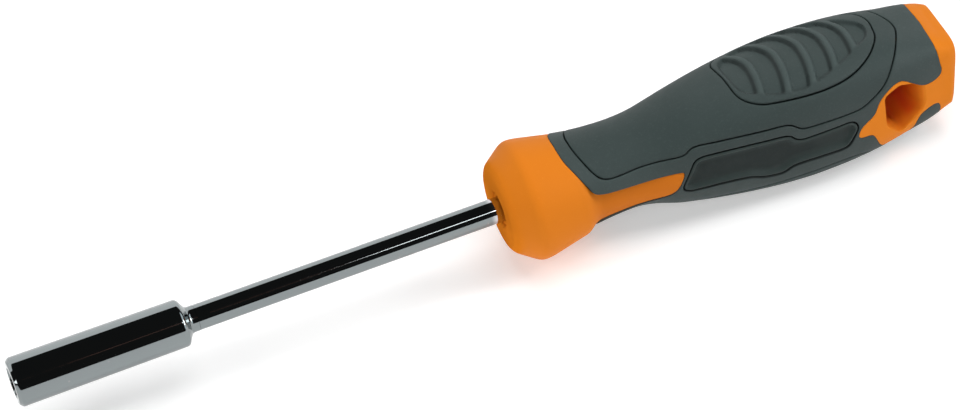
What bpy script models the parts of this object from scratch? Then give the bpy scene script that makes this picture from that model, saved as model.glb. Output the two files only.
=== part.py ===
"""Bit holder screwdriver: a chromed magnetic bit holder on a round blade, in a
two-material handle with soft grip pads and a hanging hole.

All drawing sizes are millimetres measured from the socket mouth along the tool
axis.  The part frame is metres: X runs from the socket mouth to the handle end,
Z is up with a thumb pad on top, the hanging hole runs along Y.
"""
import math

import bmesh
import bpy
import numpy as np
from mathutils import Vector
from mathutils.geometry import delaunay_2d_cdt

# ---------------------------------------------------------------- dimensions
MM = 0.001
TOOL_LENGTH = 229.5
AXIS_HEIGHT = 16.13            # tool axis above the resting plane
GAP = 0.30                    # assembly gap between neighbouring pieces
SEAM = 0.30                   # visible seam between moulded pads

HEX_AF = 6.40                 # socket for 6.35 mm (1/4 in) hexagon bits
HEX_DEPTH = 18.0
SLEEVE_R_FRONT = 5.88
SLEEVE_R_REAR = 5.60
SLEEVE_BODY_END = 40.0
SLEEVE_END = 44.0
CORNER_R = 1.2
FILLET_R = 1.2
FILLET_FOOT = 3.04
FILLET_END = 42.88
GROOVE_X = 4.4
GROOVE_HALF = 0.70
GROOVE_R = 4.45
RING_R = 3.75
RING_WIRE_R = 0.40
RING_GAP_DEG = 34.0
MAGNET_R = 2.75
MAGNET_LENGTH = 4.0
POCKET_R = 3.05
POCKET_END = 22.6
SPIGOT_R = 2.40
SPIGOT_START = 26.6
SPIGOT_BORE_START = 26.0

SHAFT_R = 3.0
SHAFT_END = 190.0
TANG_HALF_Y = 2.2
TANG_HALF_Z = 4.3

GRIP_T = 1.90                 # soft grip thickness
PAD_T = 1.55                  # thickness of the inlaid pads
SIDE_RECESS = 0.85            # side panels are dished this far below their rim
SIDE_SEAM = 0.42
NECK_TRIM = 1.25              # the grip's underside runs flush into the neck
END_ROUND = 2.2               # length of the rounding behind the last full section
END_TRIM = 0.083              # how far the end face is drawn in
END_TILT = 0.104              # slope of the end face, its foot lies further forward
END_RISE = 0.50               # the end sits a little above the axis
END_TOP = 9.1

# handle section stations: distance, half width Y, half height Z, squareness
GRIP_STATIONS = (
    (130.0, 13.62, 13.62, 2.0),
    (133.0, 12.98, 12.98, 2.0),
    (136.0, 12.36, 12.36, 2.0),
    (139.0, 11.92, 11.92, 2.0),
    (143.0, 11.56, 11.56, 2.0),
    (148.0, 11.34, 11.36, 2.0),
    (153.0, 11.40, 11.48, 2.08),
    (158.0, 11.98, 12.28, 2.2),
    (164.0, 12.68, 13.34, 2.38),
    (171.0, 13.30, 14.40, 2.6),
    (178.0, 13.76, 15.26, 2.78),
    (185.0, 14.14, 15.84, 2.9),
    (192.0, 14.42, 16.15, 2.9),
    (199.0, 14.30, 16.02, 2.9),
    (205.0, 13.90, 15.57, 2.95),
    (211.0, 13.16, 14.74, 3.05),
    (217.0, 12.18, 13.10, 3.4),
    (222.0, 11.18, 11.80, 4.2),
    (226.0, 10.20, 10.30, 5.4),
    (229.0, 10.15, 8.30, 6.8),
)
# turned outline of the hard core ahead of the grip: distance, radius
CORE_STATIONS = (
    (118.0, 9.90), (118.25, 10.44), (118.8, 11.02), (119.6, 11.60),
    (120.6, 12.32), (121.8, 13.18), (122.9, 13.92), (123.7, 14.28),
    (124.6, 14.42), (126.0, 14.30), (127.6, 14.00), (130.0, 13.48),
    (133.0, 12.82), (135.8, 12.16),
    (137.0, 11.40), (138.4, 10.40), (140.0, 10.02), (143.0, 9.95),
    (147.0, 10.02), (150.5, 10.40), (154.0, 11.10), (157.0, 11.72),
    (160.0, 12.10), (163.0, 12.40),
)

# outlines on the unrolled grip: distance along the tool, degrees from the top
THUMB_HALF = ((175.4, 0), (175.3, 10), (175.25, 18), (175.4, 24), (176.15, 29.7),
              (177.6, 34.8), (180.0, 39.2), (182.8, 41.2), (186.5, 42.9), (190.5, 44.3),
              (195.8, 44.8), (201.5, 42.2), (205.9, 36), (209.6, 26), (212.2, 12),
              (212.8, 0))
THUMB_SKEW = 0.026      # mm per degree: the pad's front edge runs slightly askew
REAR_FULL = 0.075       # mm per degree: the pad's far rear corner
PALM_HALF = ((136.5, 0), (136.6, 11), (137.9, 33), (139.3, 47), (140.6, 54),
             (142.3, 57), (145.3, 57.4), (149.8, 56.2), (153.9, 57), (159.2, 59.4),
             (160.6, 58.8), (161.8, 55.2), (163.3, 54), (167.7, 56), (173.5, 58.4),
             (179.5, 60.8), (184.2, 62.2), (185.8, 64), (186.9, 67.3), (188.0, 70.6),
             (194.2, 72.8), (200.6, 73.2), (203.1, 72.4), (206.0, 67.6), (209.8, 58),
             (212.6, 45), (215.6, 28), (217.8, 9), (218.1, 0))
LOWER_PALM_HALF = ((160.6, 0), (160.8, 14), (161.6, 30), (163.3, 42), (167.6, 47.2),
                   (173.5, 48.5), (179.3, 49.4), (184.1, 50.5), (188.0, 51.6),
                   (194.1, 52.4), (199, 52.0), (202.6, 49.6), (205.4, 43.2),
                   (208.4, 35.0), (211.6, 27.0), (214.6, 17.0), (216.7, 6), (217.1, 0))
SIDE_PANEL = ((158.8, 103), (159.3, 94), (160.5, 83), (162.2, 69.6), (163.5, 67),
              (167.1, 67.2), (173, 69), (179, 71.2), (183.7, 73), (185.3, 75),
              (186.5, 80.6), (187.7, 82.6), (190.9, 83), (197.2, 83), (200.2, 83.2),
              (201.5, 87.2), (201.9, 94.6), (200.7, 102.5), (199.3, 110), (198, 111.8),
              (192.1, 111), (186.7, 111), (184.7, 112.4), (183.0, 116.2), (178.1, 115.2),
              (174.9, 110.4), (168.9, 108), (162.9, 108), (160.2, 107.6))
# edge of the soft grip on one side, from top centre at the front, round the
# orange side window, along the bottom, and back round the hanging hole
GRIP_FRONT = ((133.1, 0), (133.1, 10), (133.6, 25), (135.0, 40), (136.2, 52),
              (137.1, 60), (137.7, 66.5), (139.7, 71), (144.1, 74), (151.8, 76),
              (158.4, 77.6), (159.6, 79), (159.5, 82), (158.6, 92), (157.6, 101),
              (155.9, 108.5), (153.0, 113), (149.0, 118), (145.0, 123), (141.5, 128),
              (139.2, 134), (138.2, 142), (137.8, 160), (137.7, 180))
GRIP_REAR = ((223.8, 180), (223.9, 160), (224.0, 140), (224.0, 126), (223.6, 118.5),
             (222.5, 115.2), (220.4, 114.8), (218.5, 117.0), (217.6, 122), (216.9, 130),
             (215.4, 140), (212.6, 145), (209.8, 141.5), (207.8, 132), (206.4, 119),
             (205.6, 111.4), (204.6, 109), (202.8, 108.2), (201.7, 106.2), (202.0, 100),
             (203.0, 94.6), (204.4, 91), (206.3, 85.8), (207.0, 80), (207.9, 73.4),
             (209.6, 67.4), (212.2, 61.8), (214.3, 61.0), (216.9, 68.4), (219.4, 77),
             (221.4, 79.6), (223.2, 79.2), (224.5, 76), (225.0, 70.6), (224.7, 60),
             (224.4, 45), (224.3, 30), (224.5, 11), (224.6, 0))
# hanging hole outline: distance, height above the axis
HOLE_OUTLINE = ((209.3, -4.3), (209.3, 4.4), (213.7, 5.8), (218.4, 3.4),
                (218.4, -4.4), (213.0, -8.7))

# thumb pad: its hollow, and the ridges left standing across it
RECESS_HALF = ((176.35, 0), (176.4, 12), (176.8, 21), (179.2, 28), (183.6, 34.5),
               (188.4, 38), (191.5, 38.5), (195.5, 35.5), (199.5, 31), (203.5, 25),
               (207.5, 16.5), (210.2, 9), (211.2, 0))
RIB_CRESTS = (182.2, 188.7, 194.9, 200.7, 206.3)
RIB_SWEEP = 0.0026            # mm per square degree, the ridges bow forward
RIB_TOP = 0.60                # half width of a ridge's crown and of its foot
RIB_FOOT = 1.40
PAD_DEPTH = 0.95

ARC_MM = 0.22                 # millimetres per degree on the unrolled grip


# ------------------------------------------------------------------- helpers
def smooth_table(table):
    """Monotone cubic through the stations of a drawing table."""
    t = np.array(table, float)
    x, y = t[:, 0], t[:, 1:]
    h = np.diff(x)[:, None]
    d = np.diff(y, axis=0) / h
    m = np.zeros_like(y)
    m[0], m[-1] = d[0], d[-1]
    for i in range(1, len(x) - 1):
        same = d[i - 1] * d[i] > 0
        w1, w2 = 2 * h[i] + h[i - 1], h[i] + 2 * h[i - 1]
        with np.errstate(divide="ignore", invalid="ignore"):
            v = (w1 + w2) / (w1 / d[i - 1] + w2 / d[i])
        m[i] = np.where(same, v, 0.0)

    def value(q):
        q = np.clip(np.asarray(q, float), x[0], x[-1])
        i = np.clip(np.searchsorted(x, q) - 1, 0, len(x) - 2)
        hh = h[i, 0]
        s = ((q - x[i]) / hh)[..., None]
        hh = hh[..., None]
        return ((1 + 2 * s) * (1 - s) ** 2 * y[i] + s * (1 - s) ** 2 * hh * m[i]
                + s * s * (3 - 2 * s) * y[i + 1] + s * s * (s - 1) * hh * m[i + 1])
    return value


def fair_table(table, width):
    """The same stations, faired with a running mean so that light runs smoothly."""
    raw = smooth_table(table)
    x0, x1 = table[0][0], table[-1][0]
    xs = np.linspace(x0, x1, 1200)
    ys = raw(xs)
    k = max(1, int(width / (xs[1] - xs[0])))
    pad = np.concatenate([2 * ys[:1] - ys[k:0:-1], ys, 2 * ys[-1:] - ys[-2:-k - 2:-1]])
    win = np.hanning(2 * k + 3)[1:-1]
    win /= win.sum()
    out = np.stack([np.convolve(pad[:, j], win, "valid") for j in range(ys.shape[1])], 1)

    def value(q):
        q = np.clip(np.asarray(q, float), x0, x1)
        return np.stack([np.interp(q, xs, out[:, j]) for j in range(out.shape[1])], -1)
    return value


grip_section = fair_table(GRIP_STATIONS, 4.0)
core_outline = fair_table(CORE_STATIONS, 0.7)


def ease(q, a, b):
    u = np.clip((np.asarray(q, float) - a) / (b - a), 0, 1)
    return u * u * (3 - 2 * u)


def grip_radius(x, deg):
    """Distance of the grip surface from the tool axis."""
    w, h, n = np.moveaxis(grip_section(x), -1, 0)
    a = np.radians(deg)
    trim = NECK_TRIM * ease(x, 160.0, 148.0) * ease(np.abs(deg), 96.0, 130.0)
    return (np.abs(np.sin(a) / w) ** n + np.abs(np.cos(a) / h) ** n) ** (-1.0 / n) - trim


def polar(x, deg, r):
    a = np.radians(deg)
    rise = END_RISE * ease(x, 217.5, 229.0)
    return np.stack([np.asarray(x, float), -r * np.sin(a), r * np.cos(a) + rise], -1)


def place(p):
    """Drawing millimetres to part metres, about the tool axis."""
    q = np.array(p, float) * MM
    q[..., 0] -= TOOL_LENGTH / 2 * MM
    return q


def spline(points, closed, step):
    """Catmull-Rom curve through drawing points on the unrolled grip."""
    p = np.array(points, float) * (1.0, ARC_MM)
    n = len(p)
    out = []
    for i in range(n if closed else n - 1):
        a, b = p[i], p[(i + 1) % n]
        z = p[i - 1] if (closed or i) else 2 * a - b
        c = p[(i + 2) % n] if (closed or i + 2 < n) else 2 * b - a
        k = max(1, int(round(np.linalg.norm(b - a) / step)))
        la, lb, lc = (max(np.linalg.norm(a - z), 1e-6) ** 0.5,
                      max(np.linalg.norm(b - a), 1e-6) ** 0.5,
                      max(np.linalg.norm(c - b), 1e-6) ** 0.5)
        t0, t1, t2, t3 = 0.0, la, la + lb, la + lb + lc
        for j in range(k):
            t = t1 + (t2 - t1) * j / k
            a1 = z * (t1 - t) / (t1 - t0) + a * (t - t0) / (t1 - t0)
            a2 = a * (t2 - t) / (t2 - t1) + b * (t - t1) / (t2 - t1)
            a3 = b * (t3 - t) / (t3 - t2) + c * (t - t2) / (t3 - t2)
            b1 = a1 * (t2 - t) / (t2 - t0) + a2 * (t - t0) / (t2 - t0)
            b2 = a2 * (t3 - t) / (t3 - t1) + a3 * (t - t1) / (t3 - t1)
            out.append(b1 * (t2 - t) / (t2 - t1) + b2 * (t - t1) / (t2 - t1))
    if not closed:
        out.append(p[-1])
    return np.array(out)


def mirrored(half):
    """Closed outline from its half, mirrored over the top centre line."""
    return list(half) + [(x, -a) for x, a in reversed(half[1:-1])]


def skewed(points):
    """An outline whose front edge is turned a little about the top centre."""
    return [(x + THUMB_SKEW * a * (1 - float(ease(x, 176.0, 192.0))), a) for x, a in points]


def fuller(points):
    """An outline whose rear corner is fuller on the far side."""
    return [(x + REAR_FULL * max(-a, 0.0) * float(ease(x, 196.0, 208.0))
             * (1 - float(ease(-a, 28.0, 52.0))), a) for x, a in points]


def area(poly):
    x, y = poly[:, 0], poly[:, 1]
    return 0.5 * np.sum(x * np.roll(y, -1) - np.roll(x, -1) * y)


def offset(poly, d, closed=True):
    """Move a curve by d to its left, or outwards for a closed outline."""
    if closed:
        prv, nxt = np.roll(poly, 1, 0), np.roll(poly, -1, 0)
    else:
        prv = np.vstack([poly[:1], poly[:-1]])
        nxt = np.vstack([poly[1:], poly[-1:]])
    t = nxt - prv
    t /= np.maximum(np.linalg.norm(t, axis=1), 1e-9)[:, None]
    nrm = np.stack([-t[:, 1], t[:, 0]], 1)
    if closed and area(poly) > 0:
        nrm = -nrm
    return poly + d * nrm


def inside(poly, pts):
    x, y = pts[:, 0], pts[:, 1]
    res = np.zeros(len(pts), bool)
    n = len(poly)
    for i in range(n):
        (x0, y0), (x1, y1) = poly[i], poly[(i + 1) % n]
        c = (y0 > y) != (y1 > y)
        if c.any():
            res ^= c & (x < (x1 - x0) * (y - y0) / (y1 - y0 + 1e-30) + x0)
    return res


def edge_distance(curve, pts):
    """Distance of points from a closed outline."""
    a, b = curve, np.roll(curve, -1, 0)
    best = np.full(len(pts), 1e9)
    for p, q in zip(a, b):
        d = q - p
        u = np.clip(((pts - p) @ d) / max(d @ d, 1e-12), 0, 1)
        best = np.minimum(best, np.linalg.norm(pts - p - u[:, None] * d, axis=1))
    return best


def triangulate(loops, keep, step, bounds, extra=()):
    """Mesh a region of the unrolled grip with its outlines as edges."""
    verts, edges = [], []
    for loop, closed in loops:
        base = len(verts)
        verts += [tuple(v) for v in loop]
        n = len(loop)
        edges += [(base + i, base + (i + 1) % n) for i in range(n if closed else n - 1)]
    line = np.array(verts)
    x0, y0, x1, y1 = bounds
    rows = []
    ny = int((y1 - y0) / (step * 0.866)) + 1
    for j in range(ny + 1):
        y = y0 + (y1 - y0) * j / ny
        off = 0.5 * step * (j % 2)
        for x in np.arange(x0 + off, x1, step):
            rows.append((x, y))
    grid = np.array(rows + list(extra)) if len(extra) else np.array(rows)
    clear = np.array([0.55 * step] * len(rows) + [0.22] * len(extra))
    near = np.full(len(grid), 1e9)
    for i in range(0, len(line), 256):
        d = np.linalg.norm(grid[:, None] - line[None, i:i + 256], axis=2).min(1)
        near = np.minimum(near, d)
    grid = grid[near > clear]
    grid = grid[keep(grid)]
    verts += [tuple(v) for v in grid]
    vo, _, faces, _, _, _ = delaunay_2d_cdt([Vector(v) for v in verts], edges, [], 0, 1e-5)
    uv = np.array([(v.x, v.y) for v in vo])
    tri = np.array([f for f in faces if len(f) == 3], int)
    cen = uv[tri].mean(1)
    tri = tri[keep(cen)]
    a = uv[tri]
    cr = ((a[:, 1, 0] - a[:, 0, 0]) * (a[:, 2, 1] - a[:, 0, 1])
          - (a[:, 1, 1] - a[:, 0, 1]) * (a[:, 2, 0] - a[:, 0, 0]))
    tri = tri[np.abs(cr) > 1e-7]
    cr = cr[np.abs(cr) > 1e-7]
    tri[cr < 0] = tri[cr < 0][:, ::-1]
    return uv, tri


def rim_edges(tri):
    seen = {}
    for a, b, c in tri:
        for e in ((a, b), (b, c), (c, a)):
            seen[e] = True
    return [e for e in seen if (e[1], e[0]) not in seen]


def shell(uv, tri, outer, inner, open_lines=()):
    """Closed solid between two heights over the same unrolled region."""
    used, tri = np.unique(tri, return_inverse=True)
    tri = tri.reshape(-1, 3)
    uv = uv[used]
    x, deg = uv[:, 0], uv[:, 1] / ARC_MM
    top = polar(x, deg, outer(x, deg))
    bot = polar(x, deg, inner(x, deg))
    n = len(uv)
    faces = [tuple(t) for t in tri] + [tuple(t[::-1] + n) for t in tri]
    for a, b in rim_edges(tri):
        if any(abs(uv[a, 1] - l) < 1e-4 and abs(uv[b, 1] - l) < 1e-4 for l in open_lines):
            continue
        faces += [(b, a, a + n), (b, a + n, b + n)]
    return np.vstack([top, bot]), faces


def make_object(name, verts, faces, material, flip_y=False, flip_z=False,
                also_mirror=False, origin_x=None, smooth_angle=35.0):
    v = place(verts)
    ox = 0.0 if origin_x is None else (origin_x - TOOL_LENGTH / 2) * MM
    v[:, 0] -= ox
    f = [tuple(int(i) for i in q) for q in faces]
    if flip_y:
        v[:, 1] *= -1
    if flip_z:
        v[:, 2] *= -1
    if flip_y != flip_z:
        f = [q[::-1] for q in f]
    if also_mirror:
        m = v * (1, -1, 1)
        n = len(v)
        f = f + [tuple(i + n for i in q[::-1]) for q in f]
        v = np.vstack([v, m])
    mesh = bpy.data.meshes.new(name)
    mesh.from_pydata([tuple(p) for p in v], [], f)
    bm = bmesh.new()
    bm.from_mesh(mesh)
    bmesh.ops.remove_doubles(bm, verts=bm.verts, dist=2e-6)
    bmesh.ops.dissolve_degenerate(bm, edges=bm.edges, dist=1e-6)
    loose = [q for q in bm.verts if not q.link_faces]
    bmesh.ops.delete(bm, geom=loose, context="VERTS")
    bmesh.ops.recalc_face_normals(bm, faces=bm.faces)
    bm.to_mesh(mesh)
    bm.free()
    ob = bpy.data.objects.new(name, mesh)
    bpy.context.collection.objects.link(ob)
    ob.location = (ox, 0, AXIS_HEIGHT * MM)
    mesh.materials.append(material)
    return ob


def cut(ob, cutter):
    """Take a cutter's volume out of a piece."""
    mod = ob.modifiers.new("cut", "BOOLEAN")
    mod.operation = "DIFFERENCE"
    mod.solver = "EXACT"
    mod.object = cutter
    bpy.context.view_layer.update()
    dg = bpy.context.evaluated_depsgraph_get()
    new = bpy.data.meshes.new_from_object(ob.evaluated_get(dg))
    old = ob.data
    ob.modifiers.clear()
    mat = old.materials[0]
    ob.data = new
    new.name = ob.name
    new.materials.clear()
    new.materials.append(mat)
    new.polygons.foreach_set("material_index", [0] * len(new.polygons))
    bpy.data.meshes.remove(old)
    cm = cutter.data
    bpy.data.objects.remove(cutter)
    bpy.data.meshes.remove(cm)
    bm = bmesh.new()
    bm.from_mesh(new)
    bmesh.ops.remove_doubles(bm, verts=bm.verts, dist=2e-6)
    bmesh.ops.dissolve_degenerate(bm, edges=bm.edges, dist=1e-6)
    bmesh.ops.triangulate(bm, faces=bm.faces)
    bm.to_mesh(new)
    bm.free()


def lathe(stations, segments, half_y=None, close=True):
    """Solid round the tool axis; stations are distance, half Y, half Z."""
    verts, faces = [], []
    for st in stations:
        x, ry, rz = st if len(st) == 3 else (st[0], st[1], st[1])
        for k in range(segments):
            a = 2 * math.pi * k / segments
            verts.append((x, -ry * math.sin(a), rz * math.cos(a)))
    for i in range(len(stations) - 1):
        for k in range(segments):
            a, b = i * segments + k, i * segments + (k + 1) % segments
            faces.append((a, b, b + segments, a + segments))
    faces.append(tuple(range(segments)))
    last = (len(stations) - 1) * segments
    faces.append(tuple(reversed(range(last, last + segments))))
    return np.array(verts), faces


def prism(outline, y0, y1, grow=1.0):
    """Prism along Y over an outline in distance and height."""
    n = len(outline)
    verts = [(x, y0, z) for x, z in outline] + [(x, y1, z) for x, z in outline]
    faces = [tuple(range(n)), tuple(reversed(range(n, 2 * n)))]
    faces += [(i, i + n, (i + 1) % n + n, (i + 1) % n) for i in range(n)]
    return np.array(verts), faces


def hexagon(af, x0, x1):
    r = af / 2 / math.cos(math.pi / 6)
    return lathe([(x0, r), (x1, r)], 6)


def material(name, colour, rough, metal=0.0):
    m = bpy.data.materials.new(name)
    m.use_nodes = True
    b = m.node_tree.nodes["Principled BSDF"]
    b.inputs["Base Color"].default_value = (*colour, 1.0)
    b.inputs["Roughness"].default_value = rough
    b.inputs["Metallic"].default_value = metal
    m.diffuse_color = (*colour, 1.0)
    return m


# -------------------------------------------------------------------- pieces
def build_sleeve(mat):
    seg = 40
    slope = (SLEEVE_R_REAR - SLEEVE_R_FRONT) / SLEEVE_BODY_END
    st = [(0.0, SLEEVE_R_FRONT - 0.95), (0.12, SLEEVE_R_FRONT - 0.55),
          (0.45, SLEEVE_R_FRONT - 0.18), (1.0, SLEEVE_R_FRONT)]
    for x in (8.0, 16.0, 24.0, 32.0, SLEEVE_BODY_END):
        st.append((x, SLEEVE_R_FRONT + slope * x))
    for a in (20, 40, 60):
        s, c = math.sin(math.radians(a)), math.cos(math.radians(a))
        st.append((SLEEVE_BODY_END + CORNER_R * s, SLEEVE_R_REAR - CORNER_R * (1 - c)))
    for a in (60, 40, 20, 0):
        s, c = math.sin(math.radians(a)), math.cos(math.radians(a))
        st.append((FILLET_END - FILLET_R * s, FILLET_FOOT + FILLET_R * (1 - c)))
    st.append((SLEEVE_END, FILLET_FOOT))
    ob = make_object("bit_holder_sleeve", *lathe(st, seg), mat)
    pocket = make_object("cut_a", *lathe([(-1.0, POCKET_R), (POCKET_END, POCKET_R)], 24), mat)
    cut(ob, pocket)
    cut(ob, make_object("cut_b", *hexagon(HEX_AF, -1.0, HEX_DEPTH), mat))
    lead = lathe([(-0.6, 4.30), (0.62, 3.08)], 36)
    cut(ob, make_object("cut_c", *lead, mat))
    cut(ob, make_object("cut_d", *lathe([(GROOVE_X - GROOVE_HALF, GROOVE_R),
                                         (GROOVE_X + GROOVE_HALF, GROOVE_R)], 36), mat))
    cut(ob, make_object("cut_e", *lathe([(SPIGOT_BORE_START, SPIGOT_R + GAP),
                                         (SLEEVE_END + 1, SPIGOT_R + GAP)], 32), mat))
    return ob


def build_ring(mat):
    verts, faces = [], []
    arc, tube = 30, 8
    start = math.radians(RING_GAP_DEG / 2)
    for i in range(arc + 1):
        a = start + (2 * math.pi - 2 * start) * i / arc
        for j in range(tube):
            b = 2 * math.pi * j / tube
            r = RING_R + RING_WIRE_R * math.cos(b)
            verts.append((GROOVE_X + RING_WIRE_R * math.sin(b), -r * math.sin(a), r * math.cos(a)))
    for i in range(arc):
        for j in range(tube):
            a, b = i * tube + j, i * tube + (j + 1) % tube
            faces.append((a, b, b + tube, a + tube))
    faces.append(tuple(range(tube)))
    faces.append(tuple(reversed(range(arc * tube, arc * tube + tube))))
    return make_object("bit_retaining_ring", np.array(verts), faces, mat, origin_x=GROOVE_X)


def build_magnet(mat):
    x0 = HEX_DEPTH + 0.2
    st = [(x0, MAGNET_R - 0.25), (x0 + 0.25, MAGNET_R),
          (x0 + MAGNET_LENGTH - 0.25, MAGNET_R), (x0 + MAGNET_LENGTH, MAGNET_R - 0.25)]
    return make_object("socket_magnet", *lathe(st, 32), mat)


def shaft_stations(grow):
    ty, tz, r = TANG_HALF_Y + grow, TANG_HALF_Z + grow, SHAFT_R + grow
    return [(158.0, r, r), (162.0, ty, tz), (180.0, ty, tz), (184.0, r, r)]


def build_shaft(mat):
    st = [(SPIGOT_START, SPIGOT_R - 0.3, SPIGOT_R - 0.3), (SPIGOT_START + 0.3, SPIGOT_R, SPIGOT_R),
          (SLEEVE_END + 0.3, SPIGOT_R, SPIGOT_R), (SLEEVE_END + 0.3, SHAFT_R - 0.05, SHAFT_R - 0.05),
          (SLEEVE_END + 0.5, SHAFT_R, SHAFT_R), (117.0, SHAFT_R, SHAFT_R)]
    st += shaft_stations(0.0)
    st += [(SHAFT_END - 0.6, SHAFT_R, SHAFT_R), (SHAFT_END, SHAFT_R - 0.6, SHAFT_R - 0.6)]
    return make_object("blade_shaft", *lathe(st, 32), mat)


def grip_edge(step):
    """Half outline of the soft grip as one closed curve."""
    front = spline(GRIP_FRONT, False, step)
    rear = spline(GRIP_REAR, False, step)
    return front, rear


def core_height(x, deg):
    """Radius of the hard core where it is seen."""
    turned = core_outline(x)[..., 0]
    return np.where(np.asarray(x) < 164.0, turned, grip_radius(x, deg) - 0.05)


def build_core(mat):
    step, top = 3.6, 180 * ARC_MM
    front, rear = grip_edge(1.9)
    f = offset(front, GAP, closed=False)
    r = offset(rear, GAP, closed=False)
    for c in (f, r):
        lo = 0 if abs(c[0, 1]) < 2 else -1
        c[lo, 1] = 0.0
        c[-1 - lo if lo else -1, 1] = top
    x0, x1 = CORE_STATIONS[0][0], TOOL_LENGTH - END_ROUND
    if f[:, 0].mean() > front[:, 0].mean():
        f = offset(front, -GAP, closed=False)
        r = offset(rear, -GAP, closed=False)
        f[0, 1], f[-1, 1] = 0.0, top
        r[0, 1], r[-1, 1] = top, 0.0
    covered = np.vstack([f, r])
    n_arc = 20
    ring = np.linspace(0, top, n_arc + 1)
    box = [(x0, y) for y in ring] + [(x, top) for x in np.arange(x0 + 3, f[-1, 0] - 1, 3.0)]
    edge_a = [(x0, y) for y in ring]
    edge_b = [(x1, y) for y in ring]
    loops = [(np.array(edge_a), False), (np.array(edge_b), False),
             (f, False), (r, False)]
    for y, xf, xr in ((0.0, f[0, 0], r[-1, 0]), (top, f[-1, 0], r[0, 0])):
        for a, b in ((x0, xf), (xf, xr), (xr, x1)):
            k = max(2, int((b - a) / step))
            loops.append((np.array([(a + (b - a) * i / k, y) for i in range(k + 1)]), False))

    def keep(p):
        return (p[:, 0] > x0) & (p[:, 0] < x1) & (p[:, 1] > 1e-4) & (p[:, 1] < top - 1e-4)
    rings = [(x, y) for x, _ in CORE_STATIONS[1:13] for y in ring[1:-1]]
    uv, tri = triangulate(loops, keep, step, (x0 + 16, 0, x1, top), extra=rings)
    under = inside(covered, uv[tri].mean(1))
    x, deg = uv[:, 0], np.clip(uv[:, 1] / ARC_MM, 0, 180)
    hi = polar(x, deg, core_height(x, deg))
    lo = polar(x, deg, grip_radius(x, deg) - GRIP_T - GAP)
    n = len(uv)
    verts = np.vstack([hi, lo])
    faces = [tuple(t) for t in tri[~under]] + [tuple(t + n) for t in tri[under]]
    up = {e: 1 for e in rim_edges(tri[~under])}
    for a, b in rim_edges(tri[under]):
        if (b, a) in up:
            faces += [(a, b, b + n), (a, b + n, a + n)][::1]
    # end faces
    order = np.argsort(uv[:, 1])
    fr = [i for i in order if abs(uv[i, 0] - x0) < 1e-4]
    rr = [i for i in order if abs(uv[i, 0] - x1) < 1e-4]
    extra = []
    base = len(verts)

    def ring_of(idx, xs, scale, bulge=None):
        nonlocal base
        ids = []
        for i in idx:
            p = hi[i] * (1, scale, scale)
            if bulge is not None:
                foot = min(scale, 1 - END_TRIM) * hi[i][2]
                xs = x1 + bulge * (END_ROUND - END_TILT * (END_TOP - foot))
            extra.append((xs, p[1], p[2]))
            ids.append(base)
            base += 1
        return ids

    def bridge(a, b, flip):
        for i in range(len(a) - 1):
            q = (a[i], a[i + 1], b[i + 1], b[i])
            faces.append(q[::-1] if flip else q)
    prev = fr
    for xs, sc in ((117.86, 0.97), (117.76, 0.90), (117.78, 0.60), (117.96, 0.445), (118.42, 0.405)):
        ids = ring_of(fr, xs, sc)
        bridge(prev, ids, False)
        prev = ids
    tip = base
    extra.append((118.42, 0, 0))
    base += 1
    faces.extend((prev[i], prev[i + 1], tip) for i in range(len(prev) - 1))
    prev = rr
    for a in (30, 60, 90):
        u = math.radians(a)
        ids = ring_of(rr, None, 1 - END_TRIM * (1 - math.cos(u)) - 0.055 * math.sin(u) * math.cos(u),
                      math.sin(u))
        bridge(prev, ids, True)
        prev = ids
    tip = base
    extra.append((TOOL_LENGTH - END_TILT * END_TOP, 0, 0))
    base += 1
    faces.extend((prev[i + 1], prev[i], tip) for i in range(len(prev) - 1))
    verts = np.vstack([verts, np.array(extra)])
    ob = make_object("handle_core", verts, faces, mat, also_mirror=True)
    bore = [(110.0, SHAFT_R + GAP, SHAFT_R + GAP)] + shaft_stations(GAP) + \
        [(SHAFT_END + 0.6, SHAFT_R + GAP, SHAFT_R + GAP)]
    cut(ob, make_object("cut_f", *lathe(bore, 32), mat))
    cut(ob, make_object("cut_g", *hole_cutter(), mat))
    return ob


def hole_cutter():
    """Rounded six-sided hole, flared at both mouths."""
    pts = []
    poly = np.array(HOLE_OUTLINE)
    n = len(poly)
    for i in range(n):
        a, b, c = poly[i - 1], poly[i], poly[(i + 1) % n]
        p = b + (a - b) / np.linalg.norm(a - b) * 1.1
        q = b + (c - b) / np.linalg.norm(c - b) * 1.1
        for t in (0.0, 0.5, 1.0):
            pts.append((1 - t) ** 2 * p + 2 * t * (1 - t) * b + t * t * q)
    pts = np.array(pts)
    verts, faces = [], []
    levels = ((-16.0, 3.4), (-12.2, 1.2), (-9.5, 0.0), (9.5, 0.0), (12.2, 1.2), (16.0, 3.4))
    m = len(pts)
    for y, ramp in levels:
        for x, z in pts:
            xx = x + ramp * max(0.0, (x - 214.0) / 4.4)
            verts.append((xx, y, z))
    for i in range(len(levels) - 1):
        for j in range(m):
            a, b = i * m + j, i * m + (j + 1) % m
            faces.append((a, b, b + m, a + m))
    faces.append(tuple(range(m)))
    faces.append(tuple(reversed(range((len(levels) - 1) * m, len(levels) * m))))
    return np.array(verts), faces


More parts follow.
